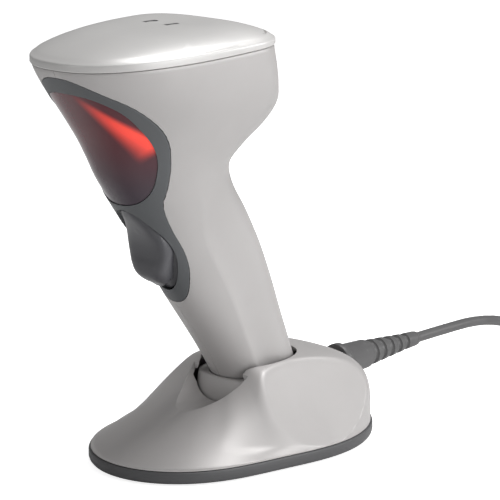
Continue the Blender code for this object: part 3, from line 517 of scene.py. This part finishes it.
def circuit_board():
    """Green laminate with copper tracks and a weave."""
    n = Nodes("circuit_board_look")
    tracks = n.add("ShaderNodeTexBrick")
    n.put(tracks.inputs["Vector"], n.coordinates)
    tracks.inputs["Scale"].default_value = 260.0
    tracks.inputs["Mortar Size"].default_value = 0.012
    track = n.math("SUBTRACT", 1.0, tracks.outputs["Fac"])
    base = n.mix(n.noise(500.0), colour((0.012, 0.11, 0.045)), colour((0.02, 0.17, 0.07)))
    n.set(Base_Color=n.mix(track, colour((0.05, 0.26, 0.10)), base))
    n.set(Roughness=n.math("MULTIPLY_ADD", n.noise(300.0), 0.2, 0.28))
    n.bump(track, 0.3, 0.00005)
    return n.material


def rubber():
    """Matt black rubber with dust in its grain."""
    n = Nodes("dusty_rubber")
    dust = n.span(n.noise(90.0, 5.0), 0.5, 0.75, 0.0, 1.0)
    black, grey = colour((0.018, 0.018, 0.019)), colour((0.09, 0.088, 0.085))
    n.set(Base_Color=n.mix(n.math("MULTIPLY", dust, 0.25), black, grey))
    n.set(Roughness=n.math("MULTIPLY_ADD", dust, 0.1, 0.78))
    n.bump(n.noise(2400.0, 2.0), 0.25, GRAIN_DEPTH)
    return n.material


def cord_jacket():
    """Grey vinyl jacket with faint extrusion marks."""
    n = Nodes("cord_jacket")
    cloud = n.noise(60.0, 4.0)
    base = n.mix(cloud, colour((0.085, 0.084, 0.086)), colour((0.115, 0.114, 0.114)))
    scuff = n.span(n.noise(240.0, 5.0, 0.7), 0.58, 0.74, 0.0, 0.35)
    n.set(Base_Color=n.mix(scuff, base, colour((0.17, 0.17, 0.17))))
    n.set(Roughness=n.math("MULTIPLY_ADD", cloud, 0.18, 0.36))
    n.bump(n.noise(1500.0, 2.0), 0.12, 0.00005)
    return n.material


def scan_window_look():
    """Smoky red scan window with a painted glow: a red streak and a redder upper part are painted into its
    colour and emission, standing in for a lit scan chamber seen through its near half.
    """
    n = Nodes("smoky_red_scan_window_painted_glow")
    axes = n.add("ShaderNodeSeparateXYZ")
    n.put(axes.inputs[0], n.coordinates)
    height = axes.outputs["Z"]
    # painted glow: one red streak painted to slant down over the pane, crisp above, fading softly below
    right = n.math("SUBTRACT", axes.outputs["X"], PAINTED_GLOW_START[0])
    up = n.math("SUBTRACT", height, PAINTED_GLOW_START[1])
    run = (PAINTED_GLOW_END[0] - PAINTED_GLOW_START[0], PAINTED_GLOW_END[1] - PAINTED_GLOW_START[1])
    reach = math.hypot(*run)
    dx, dz = run[0] / reach, run[1] / reach
    along = n.math("ADD", n.math("MULTIPLY", right, dx / reach), n.math("MULTIPLY", up, dz / reach))
    below = n.math("ADD", n.math("MULTIPLY", right, dz), n.math("MULTIPLY", up, -dx))
    bow = n.math("MULTIPLY", along, n.math("SUBTRACT", 1.0, along))
    below = n.math("MULTIPLY_ADD", bow, PAINTED_GLOW_BOW, below)
    crisp = n.span(below, n.math("MULTIPLY_ADD", along, -0.0016, -0.0022), 0.0002, 0.0, 1.0)
    soft = n.span(below, 0.0004, n.math("MULTIPLY_ADD", along, 0.0085, 0.0030), 1.0, 0.0)
    ends = n.math("MULTIPLY", n.span(along, -0.12, 0.72, 0.0, 1.0), n.span(along, 0.93, 1.05, 1.0, 0.0))
    painted_glow = n.math("MULTIPLY", n.math("MULTIPLY", crisp, soft), ends)
    # painted glow: the pane is painted redder toward the top and darker towards the bottom
    painted_glow_toward_top = n.span(height, 0.118, 0.150, 0.0, 1.0)
    haze = n.noise(45.0, 3.0)
    body = n.mix(painted_glow_toward_top, colour((0.050, 0.040, 0.054)), colour((0.115, 0.022, 0.030)))
    body = n.mix(n.math("MULTIPLY", haze, 0.35), body, colour((0.070, 0.028, 0.036)))
    # painted glow: the streak is painted bright red into the base colour
    painted_glow_colour = n.mix(painted_glow, body, colour((0.86, 0.075, 0.05)))
    n.set(Base_Color=painted_glow_colour, Roughness=n.math("MULTIPLY_ADD", n.noise(120.0, 4.0), 0.06, 0.07))
    # painted glow: the same streak also emits red light, though the window is no lamp
    n.set(Emission_Color=colour((0.85, 0.05, 0.035)), Emission_Strength=n.math("MULTIPLY", painted_glow, 0.42))
    n.set(Coat_Weight=0.25, Coat_Roughness=0.06, IOR=1.38)
    return n.material


def all_looks():
    """Every finish of the scanner and its stand."""
    return {
        "shell": moulded_plastic("warm_grey_shell", (0.47, 0.455, 0.45), 0.47, coat=0.04, sheen=0.28),
        "lid": moulded_plastic("pale_lid", (0.62, 0.61, 0.60), 0.36, mottle=0.03, coat=0.2, sheen=0.2),
        "bezel": moulded_plastic("dark_grey_bezel", (0.092, 0.097, 0.102), 0.46),
        "trigger": moulded_plastic("dark_trigger", (0.068, 0.068, 0.076), 0.36, coat=0.15),
        "rim": moulded_plastic("dark_base_rim", (0.075, 0.075, 0.078), 0.5),
        "black": moulded_plastic("black_plastic_look", (0.022, 0.022, 0.024), 0.5),
        "smoked": moulded_plastic("smoked_light_pipe", (0.018, 0.018, 0.02), 0.3, coat=0.2),
        "white": moulded_plastic("white_plunger", (0.72, 0.71, 0.68), 0.45),
        "sleeve": moulded_plastic("cell_sleeve_look", (0.04, 0.12, 0.38), 0.3, coat=0.3),
        "window": scan_window_look(),
        "rubber": rubber(),
        "steel": metal("brushed_steel_look", (0.58, 0.58, 0.60), 0.3),
        "mirror": metal("mirror_look", (0.90, 0.90, 0.92), 0.09, False),
        "brass": metal("brass_look", (0.70, 0.50, 0.22), 0.3),
        "gold": metal("gold_look", (0.92, 0.70, 0.32), 0.26, False),
        "board": circuit_board(),
        "cord": cord_jacket(),
    }


looks = all_looks()

CARRIED_OVER = {
    "black": ("optics_chassis", "laser_holder", "photodetector", "beeper", "trigger_switch", "contact_block"),
    "bezel": ("handle_end_cap",),
    "white": ("switch_plunger",),
    "sleeve": ("battery_cell",),
    "rubber": ("window_gasket",) + tuple("rubber_foot_%d" % k for k in range(1, 6)),
    "steel": (
        "chassis_screw_left", "chassis_screw_right", "polygon_motor", "motor_shaft", "trigger_pin",
        "trigger_spring", "housing_screw", "base_weight", "stand_screw_front", "stand_screw_left",
        "stand_screw_right", "axle_bracket_left", "axle_bracket_right", "pivot_pin_left", "pivot_pin_right",
    ),
    "mirror": ("polygon_mirror", "collector_mirror") + tuple("pattern_mirror_%d" % k for k in range(1, 5)),
    "brass": ("laser_module",),
    "gold": ("charge_contact_left", "charge_contact_right", "spring_contact_left", "spring_contact_right"),
    "board": ("main_board", "handle_board"),
    "cord": ("cup_lead",),
}
for look_name, node_names in CARRIED_OVER.items():
    for node_name in node_names:
        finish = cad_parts[node_name].data.materials
        finish.clear()
        finish.append(looks[look_name])


def mount(piece, body, slot, *nodes):
    """Hang a finished piece on its body in place of CAD nodes."""
    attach(piece, body)
    if nodes:
        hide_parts(*nodes)


# ----------------------------------------------------------------- camera and light
def main_camera():
    """Camera that stands where the photographer stood."""
    data = bpy.data.cameras.new("camera")
    data.lens = CAMERA_LENS
    data.sensor_width = 36.0
    made = bpy.data.objects.new("camera", data)
    bpy.context.scene.collection.objects.link(made)
    made.location = CAMERA_TARGET + CAMERA_DISTANCE * Vector((
        math.sin(CAMERA_AZIMUTH) * math.cos(CAMERA_ELEVATION),
        -math.cos(CAMERA_AZIMUTH) * math.cos(CAMERA_ELEVATION),
        math.sin(CAMERA_ELEVATION),
    ))
    made.rotation_euler = (CAMERA_TARGET - made.location).to_track_quat("-Z", "Y").to_euler()
    bpy.context.scene.camera = made


def soft_light(name, place, aim, size, power):
    """Square area light."""
    data = bpy.data.lights.new(name, "AREA")
    data.shape = "SQUARE"
    data.size = size
    data.energy = power
    made = bpy.data.objects.new(name, data)
    bpy.context.scene.collection.objects.link(made)
    made.location = place
    made.rotation_euler = (Vector(aim) - Vector(place)).to_track_quat("-Z", "Y").to_euler()


def studio():
    """White sweep, pale surroundings and soft lamps."""
    corners = [(x * FLOOR_REACH, y * FLOOR_REACH, 0) for x, y in ((-1, -1), (1, -1), (1, 1), (-1, 1))]
    floor = new_piece("floor", corners, [(0, 1, 2, 3)], None)
    n = Nodes("white_floor")
    n.set(Base_Color=colour((FLOOR_GREY,) * 3), Roughness=0.9)
    seen = n.add("ShaderNodeLightPath").outputs["Is Camera Ray"]
    lift = n.math("MULTIPLY_ADD", seen, FLOOR_LIFT, 0.03)
    n.set(Emission_Color=(1.0, 1.0, 1.0, 1.0), Emission_Strength=lift)
    floor.data.materials.append(n.material)
    world = bpy.data.worlds.new("studio")
    world.use_nodes = True
    back = world.node_tree.nodes["Background"]
    back.inputs["Color"].default_value = (1.0, 1.0, 1.0, 1.0)
    back.inputs["Strength"].default_value = SURROUND_LIGHT
    bpy.context.scene.world = world
    bpy.context.scene.view_settings.view_transform = "Standard"
    for name, (place, aim, size, power) in LIGHTS.items():
        soft_light(name, place, aim, size, power)


main_camera()
studio()


# ----------------------------------------------------------------- cord
def smooth_route(points, spacing):
    """Evenly spaced points on a smooth curve through given route points."""
    nodes = [Vector(p) for p in points]
    dense = []
    for i in range(len(nodes) - 1):
        before = nodes[max(i - 1, 0)]
        after = nodes[min(i + 2, len(nodes) - 1)]
        a, b = nodes[i], nodes[i + 1]
        lead = (b - before) * 0.5
        trail = (after - a) * 0.5
        for k in range(24):
            t = k / 24
            dense.append(
                (2 * t ** 3 - 3 * t ** 2 + 1) * a + (t ** 3 - 2 * t ** 2 + t) * lead
                + (3 * t ** 2 - 2 * t ** 3) * b + (t ** 3 - t ** 2) * trail
            )
    dense.append(nodes[-1])
    kept = [dense[0]]
    run = 0.0
    for first, second in zip(dense, dense[1:]):
        run += (second - first).length
        if run >= spacing:
            kept.append(second)
            run = 0.0
    kept.append(dense[-1])
    return kept


def coil_states():
    """Radius and height of each turn, with the angle in degrees where the next one starts."""
    low, middle, high = COIL_LEVELS
    states = [(r, low) for r in COIL_RADII] + [(r, middle) for r in reversed(COIL_RADII)]
    states.append((COIL_RADII[0], high))
    shifts = (0, 0, 0, 1, 2, 2, 2, 3)
    changes = [360.0 * (k + 1) - COIL_WINDOW * shift for k, shift in enumerate(shifts)]
    return states, changes


def coil_points():
    """Turns beside and on each other a cord's width apart, wound clockwise."""
    states, changes = coil_states()
    cx, cy = COIL_CENTRE
    points = []
    count = int(COIL_END / COIL_STEP)
    for i in range(count + 1):
        theta = COIL_END * i / count
        radius, z = states[0]
        for change, before, after in zip(changes, states, states[1:]):
            part = ramp(change - COIL_WINDOW / 2, change + COIL_WINDOW / 2, theta)
            radius += (after[0] - before[0]) * part
            z += (after[1] - before[1]) * part
        phi = math.radians(180.0 - theta)
        points.append((cx + radius * math.cos(phi), cy + radius * math.sin(phi), z))
    return points


def host_cord():
    """Cord from the strain relief to its plug, the unseen length coiled beside its end."""
    cx, cy = COIL_CENTRE
    rest = CORD_RADIUS + 0.1
    route = (
        (0.0, CORD_EXIT_Y, GLAND_Z), (0.0, 166.0, GLAND_Z), (0.0, 188.0, 21.0), (-1.0, 208.0, 17.5),
        (-4.0, 230.0, 10.0), (-9.0, 250.0, rest + 1.2), (-13.0, 265.0, rest), (cx - 33.8, cy - 24.5, rest),
        (cx - 34.4, cy - 12.0, rest), (cx - COIL_RADII[0], cy, rest),
    )
    points = [tuple(p) for p in smooth_route(route, 7.0)][:-1]
    turns = coil_points()
    points += turns
    end = Vector(turns[-1])
    heading = (end - Vector(turns[-2])).normalized()
    for reach in range(3, 37, 3):
        drop = PLUG_DROP * ramp(9.0, 30.0, reach)
        points.append(tuple(end + heading * reach - Vector((0.0, 0.0, drop))))
    curve = bpy.data.curves.new("host_cord_jacket", "CURVE")
    curve.dimensions = "3D"
    line = curve.splines.new("POLY")
    line.points.add(len(points) - 1)
    for spot, point in zip(line.points, points):
        spot.co = (*(Vector(point) * MM), 1.0)
    curve.bevel_depth = CORD_RADIUS * MM
    curve.bevel_resolution = 4
    curve.use_fill_caps = True
    curve.materials.append(looks["cord"])
    made = bpy.data.objects.new("host_cord_jacket", curve)
    bpy.context.scene.collection.objects.link(made)
    mount(made, "stand", "cord", "host_cord", "cord_coil")
    return made, Vector(points[-1]), heading


def plug(tip, heading):
    """Host plug at the end of the cord: ribbed grip, shoulder and metal shroud."""
    turn = Vector((1, 0, 0)).rotation_difference(Vector((heading.x, heading.y, 0.0)).normalized())
    start = tip - heading * 7.0
    start.z = PLUG_LEVEL

    def section(along, half_width, half_height, squareness):
        ring = []
        for a in around(40):
            y = half_width * bent(math.cos(a), squareness)
            z = half_height * bent(math.sin(a), squareness)
            ring.append(start + turn @ Vector((along, y, z)))
        return ring

    profile = [(0.0, 3.0, 3.0), (2.0, 3.6, 3.5), (7.0, 4.2, 4.0), (9.0, 6.4, 5.0), (11.0, 7.2, 5.6)]
    for k in range(5):
        at = 12.0 + k * 2.4
        profile += [(at, 7.6, 5.9), (at + 0.5, 7.0, 5.4), (at + 1.4, 7.0, 5.4), (at + 1.9, 7.6, 5.9)]
    profile += [(24.6, 7.6, 5.9), (26.2, 7.0, 5.2)]
    rings = [section(*step, PLUG_SQUARENESS) for step in profile]
    grip = new_piece("host_plug_grip", *loft(rings), looks["black"])
    finish_edges(grip, 40.0, 0.2)
    metal_steps = ((26.0, 6.0, 2.3), (37.4, 6.0, 2.3), (37.8, 6.0 - 0.3, 2.3 - 0.3))
    rings = [section(*step, SHROUD_SQUARENESS) for step in metal_steps]
    shroud = new_piece("host_plug_shroud", *loft(rings), looks["steel"])
    finish_edges(shroud, 40.0, 0.15)
    mount(grip, "stand", "black_plastic", "host_plug")
    mount(shroud, "stand", "steel")
    return grip, shroud


def tie():
    """Hook-and-loop strap round the coil."""
    cx, cy = COIL_CENTRE
    verts, faces = [], []
    sides = 48
    for y_shift, grow in ((-3.5, 0.0), (-3.2, 0.35), (3.2, 0.35), (3.5, 0.0)):
        for wall in (0.0, -STRAP_THICKNESS):
            for a in around(sides):
                x = (STRAP_HALF_WIDTH + grow + wall) * bent(math.cos(a), 0.7)
                z = (STRAP_HALF_HEIGHT + grow + wall) * bent(math.sin(a), 0.7)
                verts.append((cx + STRAP_SHIFT + x, cy + y_shift, STRAP_LEVEL + z))
    layers = [k * sides for k in (0, 2, 4, 6, 7, 5, 3, 1)]
    for k, low in enumerate(layers):
        high = layers[(k + 1) % len(layers)]
        for i in range(sides):
            j = (i + 1) % sides
            faces.append((low + i, low + j, high + j, high + i))
    made = new_piece("cord_strap", verts, faces, looks["rubber"])
    finish_edges(made, 50.0)
    mount(made, "stand", "black_plastic", "cord_tie")
    return made


cord, cord_tip, cord_heading = host_cord()
plug_grip, plug_shroud = plug(cord_tip, cord_heading)
strap = tie()


# ----------------------------------------------------------------- handset skins
def crease_angle(height):
    """Angle of the handle's crease in degrees, running out at the head."""
    if height >= CREASE[-1][0]:
        return CREASE[-1][1] + 5.0 * ramp(CREASE[-1][0], 132.0, height)
    return curve_value(CREASE, 1, max(height, CREASE[0][0]))


def creased_ring(height, inset=0.0):
    """Ring whose points fall on the crease, sunk a little behind it."""
    edge = math.radians(crease_angle(height))
    strength = CREASE_SINK * ramp(122.0, 98.0, height)
    rear_sides = SHELL_SIDES // 2 - FRONT_SIDES
    half = [edge * i / FRONT_SIDES for i in range(FRONT_SIDES)]
    half += [edge + (math.pi - edge) * i / rear_sides for i in range(rear_sides + 1)]
    angles = half + [2 * math.pi - a for a in reversed(half[1:-1])]
    ring = []
    for a in angles:
        turn = min(a, 2 * math.pi - a)
        u = min(max((turn - edge) / CREASE_SPAN, 0.0), 1.0)
        sink = strength * 6.75 * u * (1 - u) ** 2
        ring.append(handset_point(height, a, inset + sink))
    return ring


def housing_halves():
    """Two moulded halves that meet in a fine seam, open for the bezel."""
    heights = spread(HOUSING_BOTTOM, HOUSING_TOP, 92)
    steps = [(HOUSING_BOTTOM, 0.8), (HOUSING_BOTTOM + 0.25, 0.2)]
    steps += [(height, 0.0) for height in heights[1:-1]]
    steps += [(HOUSING_TOP - 0.5, 0.0), (HOUSING_TOP - 0.1, 0.25), (HOUSING_TOP, 0.7)]
    outer = loft([creased_ring(height, inset) for height, inset in steps])
    levels = spread(HOUSING_BOTTOM - 6.0, HOUSING_TOP + 8.0, 70)
    inner = loft([handset_ring(height, HOUSING_WALL) for height in levels])
    opening_patch = patch(BEZEL_TOP, BEZEL_BOTTOM, BEZEL_EDGE, CUT_OUT, CUT_IN, BEZEL_GAP)
    for side, name in ((-1, "housing_left"), (1, "housing_right")):
        shell = new_piece(name + "_skin", *outer, looks["shell"])
        cut(shell, inner)
        cut(shell, opening_patch)
        cut(shell, box((-side * (HALF_BOX / 2 - SEAM_GAP), 0.0, 100.0), (HALF_BOX, 260.0, 260.0)))
        if side < 0:
            cut(shell, rod(SCREW_RECESS, SCREW_RECESS_RADIUS, 12.0, (1, 0, 0)))
        finish_edges(shell, 38.0)
        mount(shell, "handset", "light_plastic", name)


def lid():
    """Crowned cover with an edge band, two slots and a fine line near its rear edge."""

    def crown_ring(scale, lift, inset, sink=0.0):
        outline = handset_ring(HOUSING_TOP + LID_GAP, inset, SHELL_SIDES)
        centre_y = sum(p[1] for p in outline) / len(outline)
        centre_z = sum(p[2] for p in outline) / len(outline)
        ring = []
        for i, (x, y, z) in enumerate(outline):
            thin = LID_REAR_DROP * max(0.0, (y - centre_y) / 50.0) * min(lift / LID_EDGE, 1.0)
            rear = 1.0 if abs(2.0 * i / SHELL_SIDES - 1.0) < LID_LINE_SPAN else 0.0
            ring.append((
                x * scale,
                centre_y + (y - centre_y) * scale,
                centre_z + (z - centre_z) * scale + lift - thin - sink * rear,
            ))
        return ring

    def top_ring(scale, sink=0.0):
        crown = LID_CROWN * (1.0 - scale ** LID_CROWN_POWER)
        return crown_ring(scale, LID_EDGE + crown, -LID_OVERHANG, sink)

    rings = []
    for scale in (0.3, 0.6, 0.8, 0.95):
        crown = LID_CROWN * (1.0 - scale ** LID_CROWN_POWER)
        rings.append(crown_ring(scale, LID_EDGE + crown - LID_WALL, LID_INSET))
    rings += [crown_ring(1.0, 0.0, LID_INSET), crown_ring(1.0, 0.0, -0.2)]
    rings += [crown_ring(1.0, lift, -LID_OVERHANG) for lift in (0.35, 1.2, 2.0)]
    for k in range(1, 6):
        a = math.radians(90.0 * k / 5)
        lift = 2.3 + LID_ROUND * math.sin(a) + 0.05
        rings.append(crown_ring(1.0, lift, -LID_OVERHANG + LID_ROUND * (1 - math.cos(a))))
    rings += [top_ring(scale) for scale in (0.955, 0.925)]
    rings += [top_ring(scale, LID_LINE_DEPTH) for scale in (0.921, 0.909)]
    rings += [top_ring(scale) for scale in (0.905, 0.86, 0.78, 0.68, 0.56, 0.43, 0.29, 0.15, 0.05)]
    made = new_piece("lid_shell", *loft(rings), looks["lid"])
    tops = [lid_surface(made, x, y) for x, y in LID_SLOTS]
    for x, y in LID_SLOTS:
        cut(made, box((x, y, 188.0), (*LID_SLOT_SIZE, 22.0)))
    finish_edges(made, 40.0)
    mount(made, "handset", "lid_plastic", "top_cover")
    for (x, y), top, node in zip(LID_SLOTS, tops, ("light_pipe_left", "light_pipe_right")):
        light_pipe(x, y, top, node)


def lid_surface(made, x, y):
    """Height of the lid over a point, in mm."""
    bpy.context.view_layer.update()
    hit = made.ray_cast((x * MM, y * MM, 0.3), (0.0, 0.0, -1.0))
    return hit[1].z / MM


def light_pipe(x, y, top, node):
    """Dark light pipe with a softly rounded head, flush in its slot."""
    half_width, half_depth = LIGHT_PIPE_SIZE[0] / 2, LIGHT_PIPE_SIZE[1] / 2
    rings = []
    for z, inset in ((LIGHT_PIPE_FOOT, 0.0), (top - 0.45, 0.0), (top - 0.15, 0.12), (top + 0.02, 0.4)):
        ring = []
        for a in around(40):
            across = (half_width - inset) * bent(math.cos(a), 0.3)
            along = (half_depth - inset) * bent(math.sin(a), 0.3)
            ring.append((x + across, y + along, z))
        rings.append(ring)
    made = new_piece(node + "_head", *loft(rings), looks["smoked"])
    finish_edges(made, 50.0)
    mount(made, "handset", "lens", node)


def front_parts():
    """Bezel with its two openings, and the scan window."""
    slab = patch(BEZEL_TOP, BEZEL_BOTTOM, BEZEL_EDGE, BEZEL_SINK, HOUSING_WALL)
    bezel = new_piece("bezel_skin", *slab, looks["bezel"])
    cut(bezel, patch(WINDOW_TOP, WINDOW_BOTTOM, WINDOW_EDGE, CUT_OUT, CUT_IN, WINDOW_GAP))
    cut(bezel, patch(TRIGGER_TOP, TRIGGER_BOTTOM, TRIGGER_EDGE, CUT_OUT, TRIGGER_CUT_IN, TRIGGER_GAP))
    finish_edges(bezel, 40.0)
    mount(bezel, "handset", "dark_plastic", "front_bezel")
    slab = patch(WINDOW_TOP, WINDOW_BOTTOM, WINDOW_EDGE, WINDOW_SINK, WINDOW_BACK)
    pane = new_piece("window_pane", *slab, looks["window"])
    finish_edges(pane, 45.0)
    mount(pane, "handset", "window", "scan_window")


def trigger():
    """Finger lever with a hollowed face."""
    rings = []
    for height in spread(TRIGGER_ROWS[0][0], TRIGGER_ROWS[-1][0], 44):
        face, thick, half, hollow = [curve_value(TRIGGER_ROWS, k, height) for k in range(1, 5)]
        ring = []
        for a in around(64):
            x = half * bent(math.sin(a), TRIGGER_SQUARENESS)
            y = face + thick / 2 - thick / 2 * bent(math.cos(a), TRIGGER_SQUARENESS)
            y += hollow * max(math.cos(a), 0.0) ** 1.6
            ring.append((x, y, height + (y - face) * TRIGGER_LEAN))
        rings.append(ring)
    verts, faces = loft(rings)
    skirt = patch(TRIGGER_TOP, TRIGGER_BOTTOM, TRIGGER_EDGE, *TRIGGER_SKIRT, -TRIGGER_GAP)
    shift = len(verts)
    faces += [tuple(i + shift for i in face) for face in skirt[1]]
    made = new_piece("trigger_lever", verts + skirt[0], faces, looks["trigger"])
    finish_edges(made, 50.0)
    mount(made, "trigger", "dark_plastic", "trigger")


housing_halves()
lid()
front_parts()
trigger()


# ----------------------------------------------------------------- stand
def edge_point(turn):
    """Point of the stand's edge in polar form about the middle of its outline."""
    a0, a1, a2, a3 = OUTLINE_COEFFICIENTS
    r = a0 + a1 * math.cos(turn) + a2 * math.cos(2 * turn) + a3 * math.cos(3 * turn)
    return r * math.sin(turn), OUTLINE_CENTRE_Y - r * math.cos(turn)


radius_cache = {}


def outline_radius(angle):
    """Distance from the stand's centre to its edge; angle 0 points at the nose."""
    key = round(angle, 9)
    if key in radius_cache:
        return radius_cache[key]
    sign = -1.0 if math.sin(angle) < 0 else 1.0
    target = math.acos(max(-1.0, min(1.0, math.cos(angle))))
    low, high = 0.0, math.pi
    for _ in range(40):
        turn = (low + high) / 2
        x, y = edge_point(sign * turn)
        if math.atan2(sign * x, STAND_CENTRE_Y - y) < target:
            low = turn
        else:
            high = turn
    radius_cache[key] = math.hypot(x, STAND_CENTRE_Y - y)
    return radius_cache[key]


def stand_ring(inset, height, share=1.0):
    """Ring that follows the stand's outline."""
    ring = []
    for a in around(STAND_SIDES):
        r = (outline_radius(a) - inset) * share
        z = height(share, a) if callable(height) else height
        ring.append((r * math.sin(a), STAND_CENTRE_Y - r * math.cos(a), z))
    return ring


def soft_least(a, b, width):
    """Smaller of two heights, rounded off over a width."""
    near = max(width - abs(a - b), 0.0) / width
    return min(a, b) - near * near * width / 4


def dome_height(share, angle):
    """Height of the stand's skin: a dome with a hollow flat down each side."""
    turn = abs((angle + math.pi) % (2 * math.pi) - math.pi) / math.pi
    bulge = curve_value(DOME_BULGE, 1, turn)
    round_off = curve_value(DOME_ROUNDING, 1, turn)
    rise = max(1.0 - share ** bulge, 0.0) ** round_off
    skin = RIM_TOP + LID_GAP + (DOME_TOP - RIM_TOP) * rise
    r = share * outline_radius(angle)
    x = abs(r * math.sin(angle))
    y = STAND_CENTRE_Y - r * math.cos(angle)
    across = min(max((x - FACET_EDGE_X) / FACET_HOLLOW_WIDTH, 0.0), 1.0)
    hollow = FACET_HOLLOW * math.sin(math.pi * across)
    flat = FACET_EDGE_Z - FACET_SLOPE * (x - FACET_EDGE_X) - hollow + FACET_REAR_RISE * ramp(36.0, 78.0, y)
    softness = FACET_SOFT_FRONT + (FACET_SOFT_REAR - FACET_SOFT_FRONT) * ramp(-12.0, 22.0, y)
    softness *= ramp(0.0, 6.0, skin - RIM_TOP - LID_GAP) + 0.02
    return soft_least(skin, max(flat, RIM_TOP + LID_GAP), softness)


def dome(inset, drop):
    """Solid dome."""
    floor = RIM_TOP + LID_GAP - (6.0 if drop else 0.0)
    rings = [stand_ring(inset, floor)]
    shares = [1.0, 0.9985, 0.996, 0.992, 0.985, 0.975, 0.962, 0.945]
    shares += spread(0.93, 0.06, 64)
    for share in shares:
        def height(s, a):
            return max(dome_height(s, a) - drop, floor + 0.5)
        rings.append(stand_ring(inset, height, share))
    return loft(rings)


def scoop(grow=0.0):
    """Trough in front of the cup, cut level into the sloping nose."""
    rings = []
    for y in (-34.0, 16.0):
        radius = SCOOP_RADIUS + grow
        angles = around(96)
        rings.append([(radius * math.sin(a), y - grow, SCOOP_LEVEL - radius * math.cos(a)) for a in angles])
    return loft(rings)


def cup_front(height):
    """Front line of the cup, an arc about its pins."""
    return CUP_PIVOT[0] - math.sqrt(CUP_FRONT_REACH ** 2 - (height - CUP_PIVOT[1]) ** 2)


def cup_ring(height, front, grow=0.0):
    """Outline of the cup at a height: blunt at the front, rounder at the rear."""
    rear = handset_point(height, math.pi, -CUP_REAR_WALL)[1]
    middle = (front + rear) / 2
    ring = []
    for a in around(120):
        power = CUP_FRONT_POWER if math.cos(a) > 0 else CUP_REAR_POWER
        x = (CUP_HALF_WIDTH + grow) * bent(math.sin(a), 2 / power)
        y = middle - ((rear - front) / 2 + grow) * bent(math.cos(a), 2 / power)
        ring.append((x, y, height))
    return ring


def opening():
    """Hole that the cup and the handle stand in."""
    rings = [cup_ring(z, cup_front(z), 0.9) for z in spread(CUP_BOTTOM - 1.0, CUP_TOP, 12)]
    rings.append(cup_ring(33.4, cup_front(CUP_TOP), 0.3))
    for z, inset in ((36.0, 2.3), (46.0, 1.9)):
        rings.append([(x, y, z) for x, y, _ in handset_ring(z, -inset, 120)])
    return loft(rings)


def stand_cover():
    """Domed cover with side flats, dish, cup opening and cord hole."""
    made = new_piece("stand_dome", *dome(COVER_INSET, 0.0), looks["shell"])
    hollow = new_piece("stand_hollow", *dome(COVER_INSET + COVER_WALL, COVER_WALL), None)
    cut(made, scoop())
    cut(hollow, scoop(COVER_WALL))
    points = [v.co / MM for v in hollow.data.vertices]
    inner = (points, [tuple(f.vertices) for f in hollow.data.polygons])
    bpy.data.objects.remove(hollow)
    cut(made, inner)
    cut(made, opening())
    cut(made, rod((0, 88.0, GLAND_Z), 6.4, 24.0, (0, 1, 0), 48))
    finish_edges(made, 34.0)
    mount(made, "stand", "light_plastic", "stand_cover")


def base():
    """Dark base tray with a rounded rim."""
    steps = (
        (1.4, RIM_BOTTOM), (0.5, RIM_BOTTOM + 0.3), (-0.1, RIM_BOTTOM + 1.0), (-0.4, RIM_BOTTOM + 1.9),
        (-0.4, RIM_TOP - 0.8), (-0.2, RIM_TOP - 0.25), (0.3, RIM_TOP),
    )
    made = new_piece("base_tray", *loft([stand_ring(inset, z) for inset, z in steps]), looks["rim"])
    cut(made, loft([stand_ring(TRAY_WALL, RIM_BOTTOM + TRAY_FLOOR), stand_ring(TRAY_WALL, RIM_TOP + 4.0)]))
    for x, y in SCREW_SPOTS:
        cut(made, rod((x, y, 2.0), 1.7, 8.0, (0, 0, 1)))
        cut(made, rod((x, y, 1.0), 3.2, 2.6, (0, 0, 1)))
    for x, y in FOOT_SPOTS:
        cut(made, rod((x, y, 1.0), 5.3, 2.2, (0, 0, 1)))
    finish_edges(made, 32.0)
    mount(made, "stand", "dark_plastic", "base_plate")


def cup():
    """Cup that holds the handle's end."""
    heights = spread(CUP_BOTTOM, CUP_TOP, 20)
    rings = [cup_ring(z, cup_front(z)) for z in heights[:-1]]
    for k in range(1, 5):
        a = math.radians(90.0 * k / 4)
        z = CUP_TOP - CUP_ROUND + CUP_ROUND * math.sin(a)
        rings.append(cup_ring(z, cup_front(z), -CUP_ROUND * (1 - math.cos(a))))
    made = new_piece("cup_shell", *loft(rings), looks["shell"])
    inner = [handset_ring(h, -CUP_CLEARANCE, 120) for h in spread(CUP_FLOOR, CUP_TOP + 3.0, 12)]
    cut(made, loft(inner))
    middle = (HANDSET_STATIONS[0][1] + HANDSET_STATIONS[0][2]) / 2
    cut(made, box((0, middle, 12.0), (17.0, 9.0, 9.0)))
    for side in (-1, 1):
        cut(made, rod((side * PIN_X, *CUP_PIVOT), PIN_RADIUS, 8.0, (1, 0, 0)))
    finish_edges(made, 32.0)
    mount(made, "cup", "light_plastic", "tilt_cup")


def strain_relief():
    """Grooved taper on the cord, with a collar against the stand's back wall."""
    profile = [(5.8, -9.0), (5.8, 3.2), (8.1, 3.3), (8.3, 3.6), (8.3, 6.2), (8.0, 6.7), (7.2, 8.0)]
    profile.append((6.6, 22.0))
    for number in range(5):
        z = 24.0 + number * 6.0
        r = 5.9 - number * 0.5
        profile += [(r + 0.15, z - 0.5), (r, z), (r - 0.9, z + 0.4), (r - 1.0, z + 0.7), (r - 1.0, z + 2.1)]
        profile += [(r - 0.9, z + 2.4), (r - 0.1, z + 2.8)]
    profile += [(3.5, 57.0), (3.2, 58.6), (2.7, 59.0)]
    rings = []
    for r, z in profile:
        rings.append([(r * math.cos(a), BOOT_START_Y + z, GLAND_Z + r * math.sin(a)) for a in around(48)])
    made = new_piece("cord_boot", *loft(rings), looks["cord"])
    finish_edges(made, 50.0)
    mount(made, "stand", "cord", "strain_relief")


stand_cover()
base()
cup()
strain_relief()
